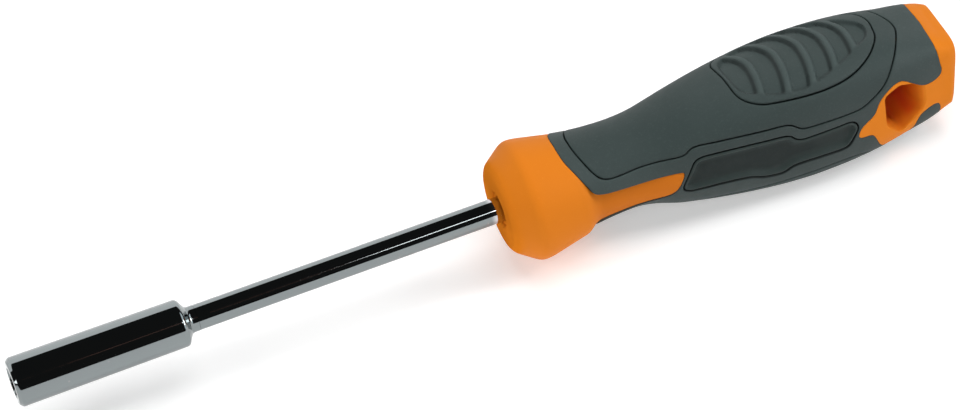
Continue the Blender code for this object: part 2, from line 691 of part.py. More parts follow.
def build_grip(mat):
    step, top = 3.2, 180 * ARC_MM
    front, rear = grip_edge(1.7)
    edge = np.vstack([front, rear])
    palm = offset(spline(mirrored(PALM_HALF), True, 1.6), SEAM / 2)
    low = offset(spline(mirrored(LOWER_PALM_HALF), True, 1.8), SEAM / 2)
    low[:, 1] = top - low[:, 1]
    side = offset(spline(SIDE_PANEL, True, 1.6), SIDE_SEAM / 2)

    def keep(p):
        return inside(edge, p) & ~inside(palm, p) & ~inside(low, p) & ~inside(side, p)
    loops = [(edge, True), (palm, True), (low, True), (side, True)]
    uv, tri = triangulate(loops, keep, step, (130, 0, 226, top))
    uv[np.abs(uv[:, 1]) < 1e-3, 1] = 0.0
    uv[np.abs(uv[:, 1] - top) < 1e-3, 1] = top
    verts, faces = shell(uv, tri, grip_radius, lambda x, a: grip_radius(x, a) - GRIP_T, (0.0, top))
    return make_object("grip_frame", verts, faces, mat, also_mirror=True)


def rib_drop(deg):
    return RIB_SWEEP * np.minimum(np.abs(deg), 42.0) ** 2


def rib_height(x, deg):
    """1 on a ridge across the thumb pad, 0 in the hollows between ridges."""
    out = np.zeros_like(np.asarray(x, float))
    for crest in RIB_CRESTS:
        out = np.maximum(out, ease(np.abs(x - crest + rib_drop(deg)), RIB_FOOT, RIB_TOP))
    return out


def build_panels(mat_panel, mat_pad, mat_side):
    thumb = spline(fuller(skewed(mirrored(THUMB_HALF))), True, 1.6)
    thumb_in, thumb_out = offset(thumb, -SEAM / 2), offset(thumb, SEAM / 2)
    made = []
    for name, half, flip in (("upper_palm_panel", PALM_HALF, False),
                             ("lower_palm_panel", LOWER_PALM_HALF, True)):
        out = offset(spline(mirrored(half), True, 1.6), -SEAM / 2)

        def keep(p):
            return inside(out, p) & ~inside(thumb_out, p)
        uv, tri = triangulate([(out, True), (thumb_out, True)], keep, 2.8, (134, -16, 220, 16))
        v, f = shell(uv, tri, grip_radius, lambda x, a: grip_radius(x, a) - PAD_T)
        made.append(make_object(name, v, f, mat_panel, flip_z=flip))

    hollow = spline(fuller(skewed(mirrored(RECESS_HALF))), True, 1.6)
    lines = [174.5, 176.8, 179.0]
    for a, b in zip(RIB_CRESTS, RIB_CRESTS[1:] + (212.0,)):
        lines += [a - 1.4, a - 0.95, a - 0.55, a + 0.55, a + 0.95, a + 1.4, 0.5 * (a + b)]
    grid = [(x - rib_drop(d), d * ARC_MM) for d in np.arange(-45.0, 45.1, 5.0) for x in lines]

    def pad_top(x, a):
        p = np.stack([x, a * ARC_MM], 1)
        d = edge_distance(hollow, p) * np.where(inside(hollow, p), 1, -1)
        return grip_radius(x, a) - PAD_DEPTH * ease(d, -0.25, 0.50) * (1 - rib_height(x, a))
    for name, flip in (("upper_thumb_pad", False), ("lower_thumb_pad", True)):
        loops = [(thumb_in, True), (offset(hollow, 0.25), True), (offset(hollow, -0.5), True)]
        uv, tri = triangulate(loops, lambda p: inside(thumb_in, p), 60.0, (100, -1, 101, 1), extra=grid)
        v, f = shell(uv, tri, pad_top, lambda x, a: grip_radius(x, a) - PAD_T)
        made.append(make_object(name, v, f, mat_pad, flip_z=flip))
    side = offset(spline(SIDE_PANEL, True, 1.6), -SIDE_SEAM / 2)

    def side_top(x, a):
        d = edge_distance(side, np.stack([x, a * ARC_MM], 1))
        return grip_radius(x, a) - 0.10 - SIDE_RECESS * ease(d, 0.40, 1.10)
    for name, flip in (("right_side_panel", False), ("left_side_panel", True)):
        loops = [(side, True), (offset(side, -0.40), True), (offset(side, -1.10), True)]
        uv, tri = triangulate(loops, lambda p: inside(side, p), 2.4, (156, 12, 204, 26))
        v, f = shell(uv, tri, side_top, lambda x, a: grip_radius(x, a) - PAD_T)
        made.append(make_object(name, v, f, mat_side, flip_y=flip))
    return made


def main():
    for ob in list(bpy.data.objects):
        bpy.data.objects.remove(ob)
    chrome = material("chromed_steel", (0.62, 0.64, 0.66), 0.12, 1.0)
    spring = material("spring_steel", (0.42, 0.43, 0.45), 0.35, 1.0)
    magnet = material("nickel_magnet", (0.55, 0.55, 0.54), 0.30, 1.0)
    orange = material("orange_hard_plastic", (0.80, 0.235, 0.022), 0.40)
    grip = material("grey_soft_grip", (0.062, 0.082, 0.080), 0.62)
    palm = material("grey_palm_pad", (0.052, 0.068, 0.066), 0.66)
    pad = material("grey_thumb_pad", (0.054, 0.071, 0.069), 0.66)
    side = material("dark_side_pad", (0.030, 0.040, 0.040), 0.66)
    build_sleeve(chrome)
    build_ring(spring)
    build_magnet(magnet)
    build_shaft(chrome)
    build_core(orange)
    build_grip(grip)
    build_panels(palm, pad, side)


main()
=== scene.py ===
"""Looks of the bit holder screwdriver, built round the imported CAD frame.

Drawing sizes are millimetres from the socket mouth along the tool axis, as in
the CAD; every piece is made in the part frame, in metres.
"""
import math
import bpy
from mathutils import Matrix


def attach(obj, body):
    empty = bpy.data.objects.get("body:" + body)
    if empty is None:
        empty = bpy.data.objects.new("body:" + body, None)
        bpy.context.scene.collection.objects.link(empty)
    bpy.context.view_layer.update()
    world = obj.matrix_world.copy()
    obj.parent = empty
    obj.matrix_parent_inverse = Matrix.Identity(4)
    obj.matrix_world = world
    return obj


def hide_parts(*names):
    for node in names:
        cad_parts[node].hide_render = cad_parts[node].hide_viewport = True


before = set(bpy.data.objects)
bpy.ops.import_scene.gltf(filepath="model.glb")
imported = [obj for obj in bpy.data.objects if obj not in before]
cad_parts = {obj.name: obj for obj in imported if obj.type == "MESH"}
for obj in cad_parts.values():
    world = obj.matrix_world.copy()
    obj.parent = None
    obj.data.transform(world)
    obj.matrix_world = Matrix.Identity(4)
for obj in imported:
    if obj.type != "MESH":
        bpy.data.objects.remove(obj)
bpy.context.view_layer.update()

import bmesh
import bpy
import numpy as np
from mathutils import Matrix, Vector
from mathutils.geometry import delaunay_2d_cdt
from mathutils.kdtree import KDTree

# ---------------------------------------------------------------- dimensions
MM = 0.001
TOOL_LENGTH = 229.5
AXIS_HEIGHT = 16.13

HEX_AF = 6.40
HEX_DEPTH = 18.0
SLEEVE_R_FRONT = 5.88
SLEEVE_R_REAR = 5.60
SLEEVE_BODY_END = 40.0
SLEEVE_END = 44.0
CORNER_R = 1.2
FILLET_R = 1.2
FILLET_FOOT = 3.04
FILLET_END = 42.88
GROOVE_X = 4.4
GROOVE_HALF = 0.70
GROOVE_R = 4.45
RING_R = 3.75
RING_WIRE_R = 0.40
RING_GAP_DEG = 34.0
MAGNET_R = 2.75
MAGNET_LENGTH = 4.0
POCKET_R = 3.05
POCKET_END = 22.6
SPIGOT_R = 2.40
SPIGOT_START = 26.6
SPIGOT_BORE_START = 26.0
SHAFT_R = 3.0
SHAFT_END = 190.0
TANG_HALF_Y = 2.2
TANG_HALF_Z = 4.3
GAP = 0.22
SEAM = 0.30
JOIN = 0.05             # fine line where the soft grip meets the hard core
GRIP_T = 1.90
PAD_T = 1.55
SIDE_RECESS = 0.85
END_ROUND = 2.2         # length of the rounding behind the last full section
END_TRIM = 0.083        # how far the end face is drawn in
END_TILT = 0.104        # slope of the end face, its foot lies further forward
END_RISE = 0.50         # the end sits a little above the axis
END_TOP = 9.1
SIDE_SEAM = 0.34
NECK_TRIM = 1.25        # the grip's underside runs flush into the neck

GRIP_STATIONS = (
    (130.0, 13.62, 13.62, 2.0),
    (133.0, 12.98, 12.98, 2.0),
    (136.0, 12.36, 12.36, 2.0),
    (139.0, 11.92, 11.92, 2.0),
    (143.0, 11.56, 11.56, 2.0),
    (148.0, 11.34, 11.36, 2.0),
    (153.0, 11.40, 11.48, 2.08),
    (158.0, 11.98, 12.28, 2.2),
    (164.0, 12.68, 13.34, 2.38),
    (171.0, 13.30, 14.40, 2.6),
    (178.0, 13.76, 15.26, 2.78),
    (185.0, 14.14, 15.84, 2.9),
    (192.0, 14.42, 16.15, 2.9),
    (199.0, 14.30, 16.02, 2.9),
    (205.0, 13.90, 15.57, 2.95),
    (211.0, 13.16, 14.74, 3.05),
    (217.0, 12.18, 13.10, 3.4),
    (222.0, 11.18, 11.80, 4.2),
    (226.0, 10.20, 10.30, 5.4),
    (229.0, 10.15, 8.30, 6.8),
)
CORE_STATIONS = (
    (118.0, 9.90), (118.25, 10.44), (118.8, 11.02), (119.6, 11.60),
    (120.6, 12.32), (121.8, 13.18), (122.9, 13.92), (123.7, 14.28),
    (124.6, 14.42), (126.0, 14.30), (127.6, 14.00), (130.0, 13.48),
    (133.0, 12.82), (135.8, 12.16),
    (137.0, 11.40), (138.4, 10.40), (140.0, 10.02), (143.0, 9.95),
    (147.0, 10.02), (150.5, 10.40), (154.0, 11.10), (157.0, 11.72),
    (160.0, 12.10), (163.0, 12.40),
)
THUMB_HALF = ((175.4, 0), (175.3, 10), (175.25, 18), (175.4, 24), (176.15, 29.7),
              (177.6, 34.8), (180.0, 39.2), (182.8, 41.2), (186.5, 42.9), (190.5, 44.3),
              (195.8, 44.8), (201.5, 42.2), (205.9, 36), (209.6, 26), (212.2, 12),
              (212.8, 0))
THUMB_SKEW = 0.026      # mm per degree: the pad's front edge runs slightly askew
REAR_FULL = 0.075       # mm per degree: the pad's far rear corner
RECESS_HALF = ((176.35, 0), (176.4, 12), (176.8, 21), (179.2, 28), (183.6, 34.5),
               (188.4, 38), (191.5, 38.5), (195.5, 35.5), (199.5, 31), (203.5, 25),
               (207.5, 16.5), (210.2, 9), (211.2, 0))
PALM_HALF = ((136.5, 0), (136.6, 11), (137.9, 33), (139.3, 47), (140.6, 54),
             (142.3, 57), (145.3, 57.4), (149.8, 56.2), (153.9, 57), (159.2, 59.4),
             (160.6, 58.8), (161.8, 55.2), (163.3, 54), (167.7, 56), (173.5, 58.4),
             (179.5, 60.8), (184.2, 62.2), (185.8, 64), (186.9, 67.3), (188.0, 70.6),
             (194.2, 72.8), (200.6, 73.2), (203.1, 72.4), (206.0, 67.6), (209.8, 58),
             (212.6, 45), (215.6, 28), (217.8, 9), (218.1, 0))
LOWER_PALM_HALF = ((160.6, 0), (160.8, 14), (161.6, 30), (163.3, 42), (167.6, 47.2),
                   (173.5, 48.5), (179.3, 49.4), (184.1, 50.5), (188.0, 51.6),
                   (194.1, 52.4), (199, 52.0), (202.6, 49.6), (205.4, 43.2),
                   (208.4, 35.0), (211.6, 27.0), (214.6, 17.0), (216.7, 6), (217.1, 0))
SIDE_PANEL = ((158.8, 103), (159.3, 94), (160.5, 83), (162.2, 69.6), (163.5, 67),
              (167.1, 67.2), (173, 69), (179, 71.2), (183.7, 73), (185.3, 75),
              (186.5, 80.6), (187.7, 82.6), (190.9, 83), (197.2, 83), (200.2, 83.2),
              (201.5, 87.2), (201.9, 94.6), (200.7, 102.5), (199.3, 110), (198, 111.8),
              (192.1, 111), (186.7, 111), (184.7, 112.4), (183.0, 116.2), (178.1, 115.2),
              (174.9, 110.4), (168.9, 108), (162.9, 108), (160.2, 107.6))
GRIP_FRONT = ((133.1, 0), (133.1, 10), (133.6, 25), (135.0, 40), (136.2, 52),
              (137.1, 60), (137.7, 66.5), (139.7, 71), (144.1, 74), (151.8, 76),
              (158.4, 77.6), (159.6, 79), (159.5, 82), (158.6, 92), (157.6, 101),
              (155.9, 108.5), (153.0, 113), (149.0, 118), (145.0, 123), (141.5, 128),
              (139.2, 134), (138.2, 142), (137.8, 160), (137.7, 180))
GRIP_REAR = ((223.8, 180), (223.9, 160), (224.0, 140), (224.0, 126), (223.6, 118.5),
             (222.5, 115.2), (220.4, 114.8), (218.5, 117.0), (217.6, 122), (216.9, 130),
             (215.4, 140), (212.6, 145), (209.8, 141.5), (207.8, 132), (206.4, 119),
             (205.6, 111.4), (204.6, 109), (202.8, 108.2), (201.7, 106.2), (202.0, 100),
             (203.0, 94.6), (204.4, 91), (206.3, 85.8), (207.0, 80), (207.9, 73.4),
             (209.6, 67.4), (212.2, 61.8), (214.3, 61.0), (216.9, 68.4), (219.4, 77),
             (221.4, 79.6), (223.2, 79.2), (224.5, 76), (225.0, 70.6), (224.7, 60),
             (224.4, 45), (224.3, 30), (224.5, 11), (224.6, 0))
HOLE_OUTLINE = ((209.3, -4.3), (209.3, 4.4), (213.7, 5.8), (218.4, 3.4),
                (218.4, -4.4), (213.0, -8.7))
RIB_CRESTS = (182.2, 188.7, 194.9, 200.7, 206.3)
RIB_SWEEP_NEAR = 0.0011     # mm per square degree, towards the near side
RIB_SWEEP_FAR = 0.0042
RIB_TOP = 0.60              # half width of a ridge's crown and of its foot
RIB_FOOT = 1.40
PAD_DEPTH = 0.95
ARC_MM = 0.22
TOP = 180 * ARC_MM
RIM = (0.0, 0.04, 0.10, 0.18, 0.30)     # rings across a rounded pad edge
RIM_R = 0.30
LIP = (0.0, 0.03, 0.08, 0.15)           # rings across the finer edge of a joint
LIP_R = 0.15


# ------------------------------------------------------------------- helpers
def smooth_table(table):
    t = np.array(table, float)
    x, y = t[:, 0], t[:, 1:]
    h = np.diff(x)[:, None]
    d = np.diff(y, axis=0) / h
    m = np.zeros_like(y)
    m[0], m[-1] = d[0], d[-1]
    for i in range(1, len(x) - 1):
        same = d[i - 1] * d[i] > 0
        w1, w2 = 2 * h[i] + h[i - 1], h[i] + 2 * h[i - 1]
        with np.errstate(divide="ignore", invalid="ignore"):
            v = (w1 + w2) / (w1 / d[i - 1] + w2 / d[i])
        m[i] = np.where(same, v, 0.0)

    def value(q):
        q = np.clip(np.asarray(q, float), x[0], x[-1])
        i = np.clip(np.searchsorted(x, q) - 1, 0, len(x) - 2)
        hh = h[i, 0]
        s = ((q - x[i]) / hh)[..., None]
        hh = hh[..., None]
        return ((1 + 2 * s) * (1 - s) ** 2 * y[i] + s * (1 - s) ** 2 * hh * m[i]
                + s * s * (3 - 2 * s) * y[i + 1] + s * s * (s - 1) * hh * m[i + 1])
    return value


def fair_table(table, width):
    """The same stations, faired with a running mean so that light runs smoothly."""
    raw = smooth_table(table)
    x0, x1 = table[0][0], table[-1][0]
    xs = np.linspace(x0, x1, 1200)
    ys = raw(xs)
    k = max(1, int(width / (xs[1] - xs[0])))
    pad = np.concatenate([2 * ys[:1] - ys[k:0:-1], ys, 2 * ys[-1:] - ys[-2:-k - 2:-1]])
    win = np.hanning(2 * k + 3)[1:-1]
    win /= win.sum()
    out = np.stack([np.convolve(pad[:, j], win, "valid") for j in range(ys.shape[1])], 1)

    def value(q):
        q = np.clip(np.asarray(q, float), x0, x1)
        return np.stack([np.interp(q, xs, out[:, j]) for j in range(out.shape[1])], -1)
    return value


grip_section = fair_table(GRIP_STATIONS, 4.0)
core_outline = fair_table(CORE_STATIONS, 0.7)


def ease(q, a, b):
    u = np.clip((np.asarray(q, float) - a) / (b - a), 0, 1)
    return u * u * (3 - 2 * u)


def grip_radius(x, deg):
    w, h, n = np.moveaxis(grip_section(x), -1, 0)
    a = np.radians(deg)
    trim = NECK_TRIM * ease(x, 160.0, 148.0) * ease(np.abs(deg), 96.0, 130.0)
    return (np.abs(np.sin(a) / w) ** n + np.abs(np.cos(a) / h) ** n) ** (-1.0 / n) - trim


def polar(x, deg, r):
    a = np.radians(deg)
    rise = END_RISE * ease(x, 217.5, 229.0)
    return np.stack([np.asarray(x, float), -r * np.sin(a), r * np.cos(a) + rise], -1)


def place(p):
    q = np.array(p, float) * MM
    q[..., 0] -= TOOL_LENGTH / 2 * MM
    q[..., 2] += AXIS_HEIGHT * MM
    return q


def spline(points, closed, step):
    p = np.array(points, float) * (1.0, ARC_MM)
    n = len(p)
    out = []
    for i in range(n if closed else n - 1):
        a, b = p[i], p[(i + 1) % n]
        z = p[i - 1] if (closed or i) else 2 * a - b
        c = p[(i + 2) % n] if (closed or i + 2 < n) else 2 * b - a
        k = max(1, int(round(np.linalg.norm(b - a) / step)))
        la, lb, lc = (max(np.linalg.norm(a - z), 1e-6) ** 0.5,
                      max(np.linalg.norm(b - a), 1e-6) ** 0.5,
                      max(np.linalg.norm(c - b), 1e-6) ** 0.5)
        t0, t1, t2, t3 = 0.0, la, la + lb, la + lb + lc
        for j in range(k):
            t = t1 + (t2 - t1) * j / k
            a1 = z * (t1 - t) / (t1 - t0) + a * (t - t0) / (t1 - t0)
            a2 = a * (t2 - t) / (t2 - t1) + b * (t - t1) / (t2 - t1)
            a3 = b * (t3 - t) / (t3 - t2) + c * (t - t2) / (t3 - t2)
            b1 = a1 * (t2 - t) / (t2 - t0) + a2 * (t - t0) / (t2 - t0)
            b2 = a2 * (t3 - t) / (t3 - t1) + a3 * (t - t1) / (t3 - t1)
            out.append(b1 * (t2 - t) / (t2 - t1) + b2 * (t - t1) / (t2 - t1))
    if not closed:
        out.append(p[-1])
    return even(np.array(out), closed, step)


def even(p, closed, step):
    """Points at even spacing along a curve."""
    q = np.vstack([p, p[:1]]) if closed else p
    s = np.concatenate([[0], np.cumsum(np.linalg.norm(np.diff(q, axis=0), axis=1))])
    n = max(4, int(round(s[-1] / step)))
    g = np.linspace(0, s[-1], n + 1)
    out = np.stack([np.interp(g, s, q[:, 0]), np.interp(g, s, q[:, 1])], 1)
    return out[:-1] if closed else out


def relax(p, closed, times):
    """Round the corners of an evenly spaced curve a little."""
    p = p.copy()
    for _ in range(times):
        q = 0.5 * p + 0.25 * (np.roll(p, 1, 0) + np.roll(p, -1, 0))
        if not closed:
            q[0], q[-1] = p[0], p[-1]
        p = q
    return p


def mirrored(half):
    return list(half) + [(x, -a) for x, a in reversed(half[1:-1])]


def skewed(points):
    """An outline whose front edge is turned a little about the top centre."""
    return [(x + THUMB_SKEW * a * (1 - float(ease(x, 176.0, 192.0))), a) for x, a in points]


def fuller(points):
    """An outline whose rear corner is fuller on the far side."""
    return [(x + REAR_FULL * max(-a, 0.0) * float(ease(x, 196.0, 208.0))
             * (1 - float(ease(-a, 28.0, 52.0))), a) for x, a in points]


def area(poly):
    x, y = poly[:, 0], poly[:, 1]
    return 0.5 * np.sum(x * np.roll(y, -1) - np.roll(x, -1) * y)


def offset(poly, d, closed=True):
    if closed:
        prv, nxt = np.roll(poly, 1, 0), np.roll(poly, -1, 0)
    else:
        prv = np.vstack([poly[:1], poly[:-1]])
        nxt = np.vstack([poly[1:], poly[-1:]])
    t = nxt - prv
    t /= np.maximum(np.linalg.norm(t, axis=1), 1e-9)[:, None]
    nrm = np.stack([-t[:, 1], t[:, 0]], 1)
    if closed and area(poly) > 0:
        nrm = -nrm
    return poly + d * nrm


def inside(poly, pts):
    x, y = pts[:, 0], pts[:, 1]
    res = np.zeros(len(pts), bool)
    lo, hi = poly.min(0), poly.max(0)
    sel = np.nonzero((x >= lo[0]) & (x <= hi[0]) & (y >= lo[1]) & (y <= hi[1]))[0]
    xs, ys = x[sel], y[sel]
    r = np.zeros(len(sel), bool)
    n = len(poly)
    for i in range(n):
        (x0, y0), (x1, y1) = poly[i], poly[(i + 1) % n]
        c = (y0 > ys) != (y1 > ys)
        if c.any():
            r[c] ^= xs[c] < (x1 - x0) * (ys[c] - y0) / (y1 - y0) + x0
    res[sel] = r
    return res


def tree_of(pts):
    t = KDTree(len(pts))
    for i, (x, y) in enumerate(pts):
        t.insert((x, y, 0.0), i)
    t.balance()
    return t


def distance(curve, pts):
    """Distance of points from an evenly spaced dense curve."""
    t = tree_of(even(curve, False, 0.03) if len(curve) > 2 else curve)
    return np.array([t.find((x, y, 0.0))[2] for x, y in pts])


def hex_grid(step, bounds):
    x0, y0, x1, y1 = bounds
    rows = []
    ny = max(1, int((y1 - y0) / (step * 0.866)))
    for j in range(ny + 1):
        y = y0 + (y1 - y0) * j / ny
        xs = np.arange(x0 + 0.5 * step * (j % 2), x1, step)
        rows.append(np.stack([xs, np.full_like(xs, y)], 1))
    return np.vstack(rows)


def triangulate(loops, keep, grid, clear):
    """Mesh a region of the unrolled grip with its outlines as edges."""
    verts, edges = [], []
    for loop, closed in loops:
        base = len(verts)
        verts += [tuple(v) for v in loop]
        n = len(loop)
        edges += [(base + i, base + (i + 1) % n) for i in range(n if closed else n - 1)]
    t = tree_of(verts)
    near = np.array([t.find((x, y, 0.0))[2] for x, y in grid])
    grid = grid[near > clear]
    grid = grid[keep(grid)]
    verts += [tuple(v) for v in grid]
    vo, _, faces, _, _, _ = delaunay_2d_cdt([Vector(v) for v in verts], edges, [], 0, 1e-6)
    uv = np.array([(v.x, v.y) for v in vo])
    tri = np.array([f for f in faces if len(f) == 3], int)
    tri = tri[keep(uv[tri].mean(1))]
    a = uv[tri]
    cr = ((a[:, 1, 0] - a[:, 0, 0]) * (a[:, 2, 1] - a[:, 0, 1])
          - (a[:, 1, 1] - a[:, 0, 1]) * (a[:, 2, 0] - a[:, 0, 0]))
    ok = np.abs(cr) > 1e-9
    tri, cr = tri[ok], cr[ok]
    tri[cr < 0] = tri[cr < 0][:, ::-1]
    return uv, tri


def rim_edges(tri):
    seen = set()
    for a, b, c in tri.tolist():
        seen.update(((a, b), (b, c), (c, a)))
    return [e for e in seen if (e[1], e[0]) not in seen]


def shell(uv, tri, outer, inner, open_lines=(), seams=()):
    """Closed skin between two heights; its walls lean in to the seam lines."""
    used, tri = np.unique(tri, return_inverse=True)
    tri = tri.reshape(-1, 3)
    uv = uv[used]
    low = uv.copy()
    if len(seams):
        line = np.vstack([even(np.vstack([c, c[:1]]), False, 0.02) for c in seams])
        t = tree_of(line)
        for i in sorted({i for e in rim_edges(tri) for i in e}):
            _, j, dd = t.find((uv[i, 0], uv[i, 1], 0.0))
            if dd < SIDE_SEAM:
                low[i] = uv[i] + 0.93 * (line[j] - uv[i])
    x, deg = uv[:, 0], uv[:, 1] / ARC_MM
    r_out = outer(uv)
    top = polar(x, deg, r_out)
    mid = polar(x, deg, r_out + 0.62 * (inner(uv) - r_out))
    bot = polar(low[:, 0], low[:, 1] / ARC_MM, inner(low))
    n = len(uv)
    faces = [tuple(t) for t in tri.tolist()] + [tuple(t) for t in (tri[:, ::-1] + 2 * n).tolist()]
    for a, b in rim_edges(tri):
        if any(abs(uv[a, 1] - l) < 1e-4 and abs(uv[b, 1] - l) < 1e-4 for l in open_lines):
            continue
        faces.append((b, a, a + n, b + n))
        faces.append((b + n, a + n, a + 2 * n, b + 2 * n))
    return np.vstack([top, mid, bot]), faces


def rim_drop(d, r=RIM_R):
    """How far a rounded edge falls away, at a distance from the edge."""
    u = np.clip(1 - np.asarray(d) / r, 0, 1)
    return r * (1 - np.sqrt(np.maximum(0.0, 1 - u * u)))


def make_object(name, verts, faces, mat, flip_y=False, flip_z=False,
                also_mirror=False, sharp=38.0):
    v = np.array(verts, float)
    f = [tuple(int(i) for i in q) for q in faces]
    if flip_y:
        v = v * (1, -1, 1)
    if flip_z:
        v = v * (1, 1, -1)
    if flip_y != flip_z:
        f = [q[::-1] for q in f]
    if also_mirror:
        n = len(v)
        f = f + [tuple(i + n for i in q[::-1]) for q in f]
        v = np.vstack([v, v * (1, -1, 1)])
    v = place(v)
    mesh = bpy.data.meshes.new(name)
    mesh.from_pydata([tuple(p) for p in v.tolist()], [], f)
    bm = bmesh.new()
    bm.from_mesh(mesh)
    bmesh.ops.remove_doubles(bm, verts=bm.verts, dist=4e-7)
    bmesh.ops.dissolve_degenerate(bm, edges=bm.edges, dist=2e-7)
    bmesh.ops.delete(bm, geom=[q for q in bm.verts if not q.link_faces], context="VERTS")
    bmesh.ops.recalc_face_normals(bm, faces=bm.faces)
    bm.to_mesh(mesh)
    bm.free()
    ob = bpy.data.objects.new(name, mesh)
    bpy.context.collection.objects.link(ob)
    if mat is not None:
        mesh.materials.append(mat)
    finish_mesh(ob, sharp)
    return ob


def finish_mesh(ob, sharp):
    me = ob.data
    me.polygons.foreach_set("use_smooth", [True] * len(me.polygons))
    me.set_sharp_from_angle(angle=math.radians(sharp))
    me.update()


def cut(ob, cutter, sharp=38.0):
    mod = ob.modifiers.new("cut", "BOOLEAN")
    mod.operation = "DIFFERENCE"
    mod.solver = "EXACT"
    mod.object = cutter
    bpy.context.view_layer.update()
    dg = bpy.context.evaluated_depsgraph_get()
    new = bpy.data.meshes.new_from_object(ob.evaluated_get(dg))
    old = ob.data
    mat = old.materials[0]
    ob.modifiers.clear()
    ob.data = new
    new.materials.clear()
    new.materials.append(mat)
    new.polygons.foreach_set("material_index", [0] * len(new.polygons))
    bpy.data.meshes.remove(old)
    cm = cutter.data
    bpy.data.objects.remove(cutter)
    bpy.data.meshes.remove(cm)
    new.name = ob.name
    finish_mesh(ob, sharp)


def lathe(stations, segments):
    st = np.array([s if len(s) == 3 else (s[0], s[1], s[1]) for s in stations], float)
    a = 2 * np.pi * np.arange(segments) / segments
    verts = np.stack([np.repeat(st[:, 0], segments),
                      (-st[:, 1:2] * np.sin(a)[None]).ravel(),
                      (st[:, 2:3] * np.cos(a)[None]).ravel()], 1)
    faces = []
    for i in range(len(st) - 1):
        for k in range(segments):
            p, q = i * segments + k, i * segments + (k + 1) % segments
            faces.append((p, q, q + segments, p + segments))
    faces.append(tuple(range(segments)))
    last = (len(st) - 1) * segments
    faces.append(tuple(reversed(range(last, last + segments))))
    return verts, faces


def arc(cx, cr, r, a0, a1, n):
    """Profile points on a circle, angles in degrees from the outward radius."""
    return [(cx + r * math.sin(math.radians(a0 + (a1 - a0) * i / n)),
             cr + r * math.cos(math.radians(a0 + (a1 - a0) * i / n))) for i in range(n + 1)]


# ----------------------------------------------------------------- materials
class Nodes:
    def __init__(self, name):
        self.m = bpy.data.materials.new(name)
        self.m.use_nodes = True
        self.t = self.m.node_tree
        self.b = self.t.nodes["Principled BSDF"]
        tc = self.t.nodes.new("ShaderNodeTexCoord")
        self.co = tc.outputs["Object"]

    def new(self, kind, **kw):
        n = self.t.nodes.new(kind)
        for k, v in kw.items():
            setattr(n, k, v)
        return n

    def link(self, a, b):
        self.t.links.new(a, b)

    def noise(self, scale, detail=3.0, rough=0.5, stretch=None):
        co = self.co
        if stretch:
            mp = self.new("ShaderNodeMapping")
            mp.inputs["Scale"].default_value = stretch
            self.link(co, mp.inputs["Vector"])
            co = mp.outputs["Vector"]
        n = self.new("ShaderNodeTexNoise")
        n.inputs["Scale"].default_value = scale
        n.inputs["Detail"].default_value = detail
        n.inputs["Roughness"].default_value = rough
        self.link(co, n.inputs["Vector"])
        return n.outputs["Fac"]

    def ramp(self, fac, stops):
        r = self.new("ShaderNodeValToRGB")
        e = r.color_ramp.elements
        while len(e) < len(stops):
            e.new(0.5)
        for el, (pos, col) in zip(e, stops):
            el.position = pos
            el.color = (*col, 1.0) if len(col) == 3 else (col[0], col[0], col[0], 1.0)
        self.link(fac, r.inputs["Fac"])
        return r.outputs["Color"]

    def mix(self, fac, a, b):
        n = self.new("ShaderNodeMix", data_type="RGBA")
        if isinstance(fac, float):
            n.inputs["Factor"].default_value = fac
        else:
            self.link(fac, n.inputs["Factor"])
        for sock, val in ((n.inputs[6], a), (n.inputs[7], b)):
            if isinstance(val, tuple):
                sock.default_value = (*val, 1.0)
            else:
                self.link(val, sock)
        return n.outputs[2]

    def range(self, fac, lo, hi):
        n = self.new("ShaderNodeMapRange")
        n.inputs["To Min"].default_value = lo
        n.inputs["To Max"].default_value = hi
        self.link(fac, n.inputs["Value"])
        return n.outputs["Result"]

    def smooth(self, value, a, b):
        n = self.new("ShaderNodeMapRange", interpolation_type="SMOOTHSTEP")
        n.inputs["From Min"].default_value = a
        n.inputs["From Max"].default_value = b
        self.link(value, n.inputs["Value"])
        return n.outputs["Result"]

    def math(self, op, a, b=None):
        n = self.new("ShaderNodeMath", operation=op)
        for sock, val in zip(n.inputs, (a, b)):
            if isinstance(val, float):
                sock.default_value = val
            elif val is not None:
                self.link(val, sock)
        return n.outputs[0]

    def bump(self, height, strength, dist, normal=None):
        n = self.new("ShaderNodeBump")
        n.inputs["Strength"].default_value = strength
        n.inputs["Distance"].default_value = dist
        self.link(height, n.inputs["Height"])
        if normal is not None:
            self.link(normal, n.inputs["Normal"])
        return n.outputs["Normal"]


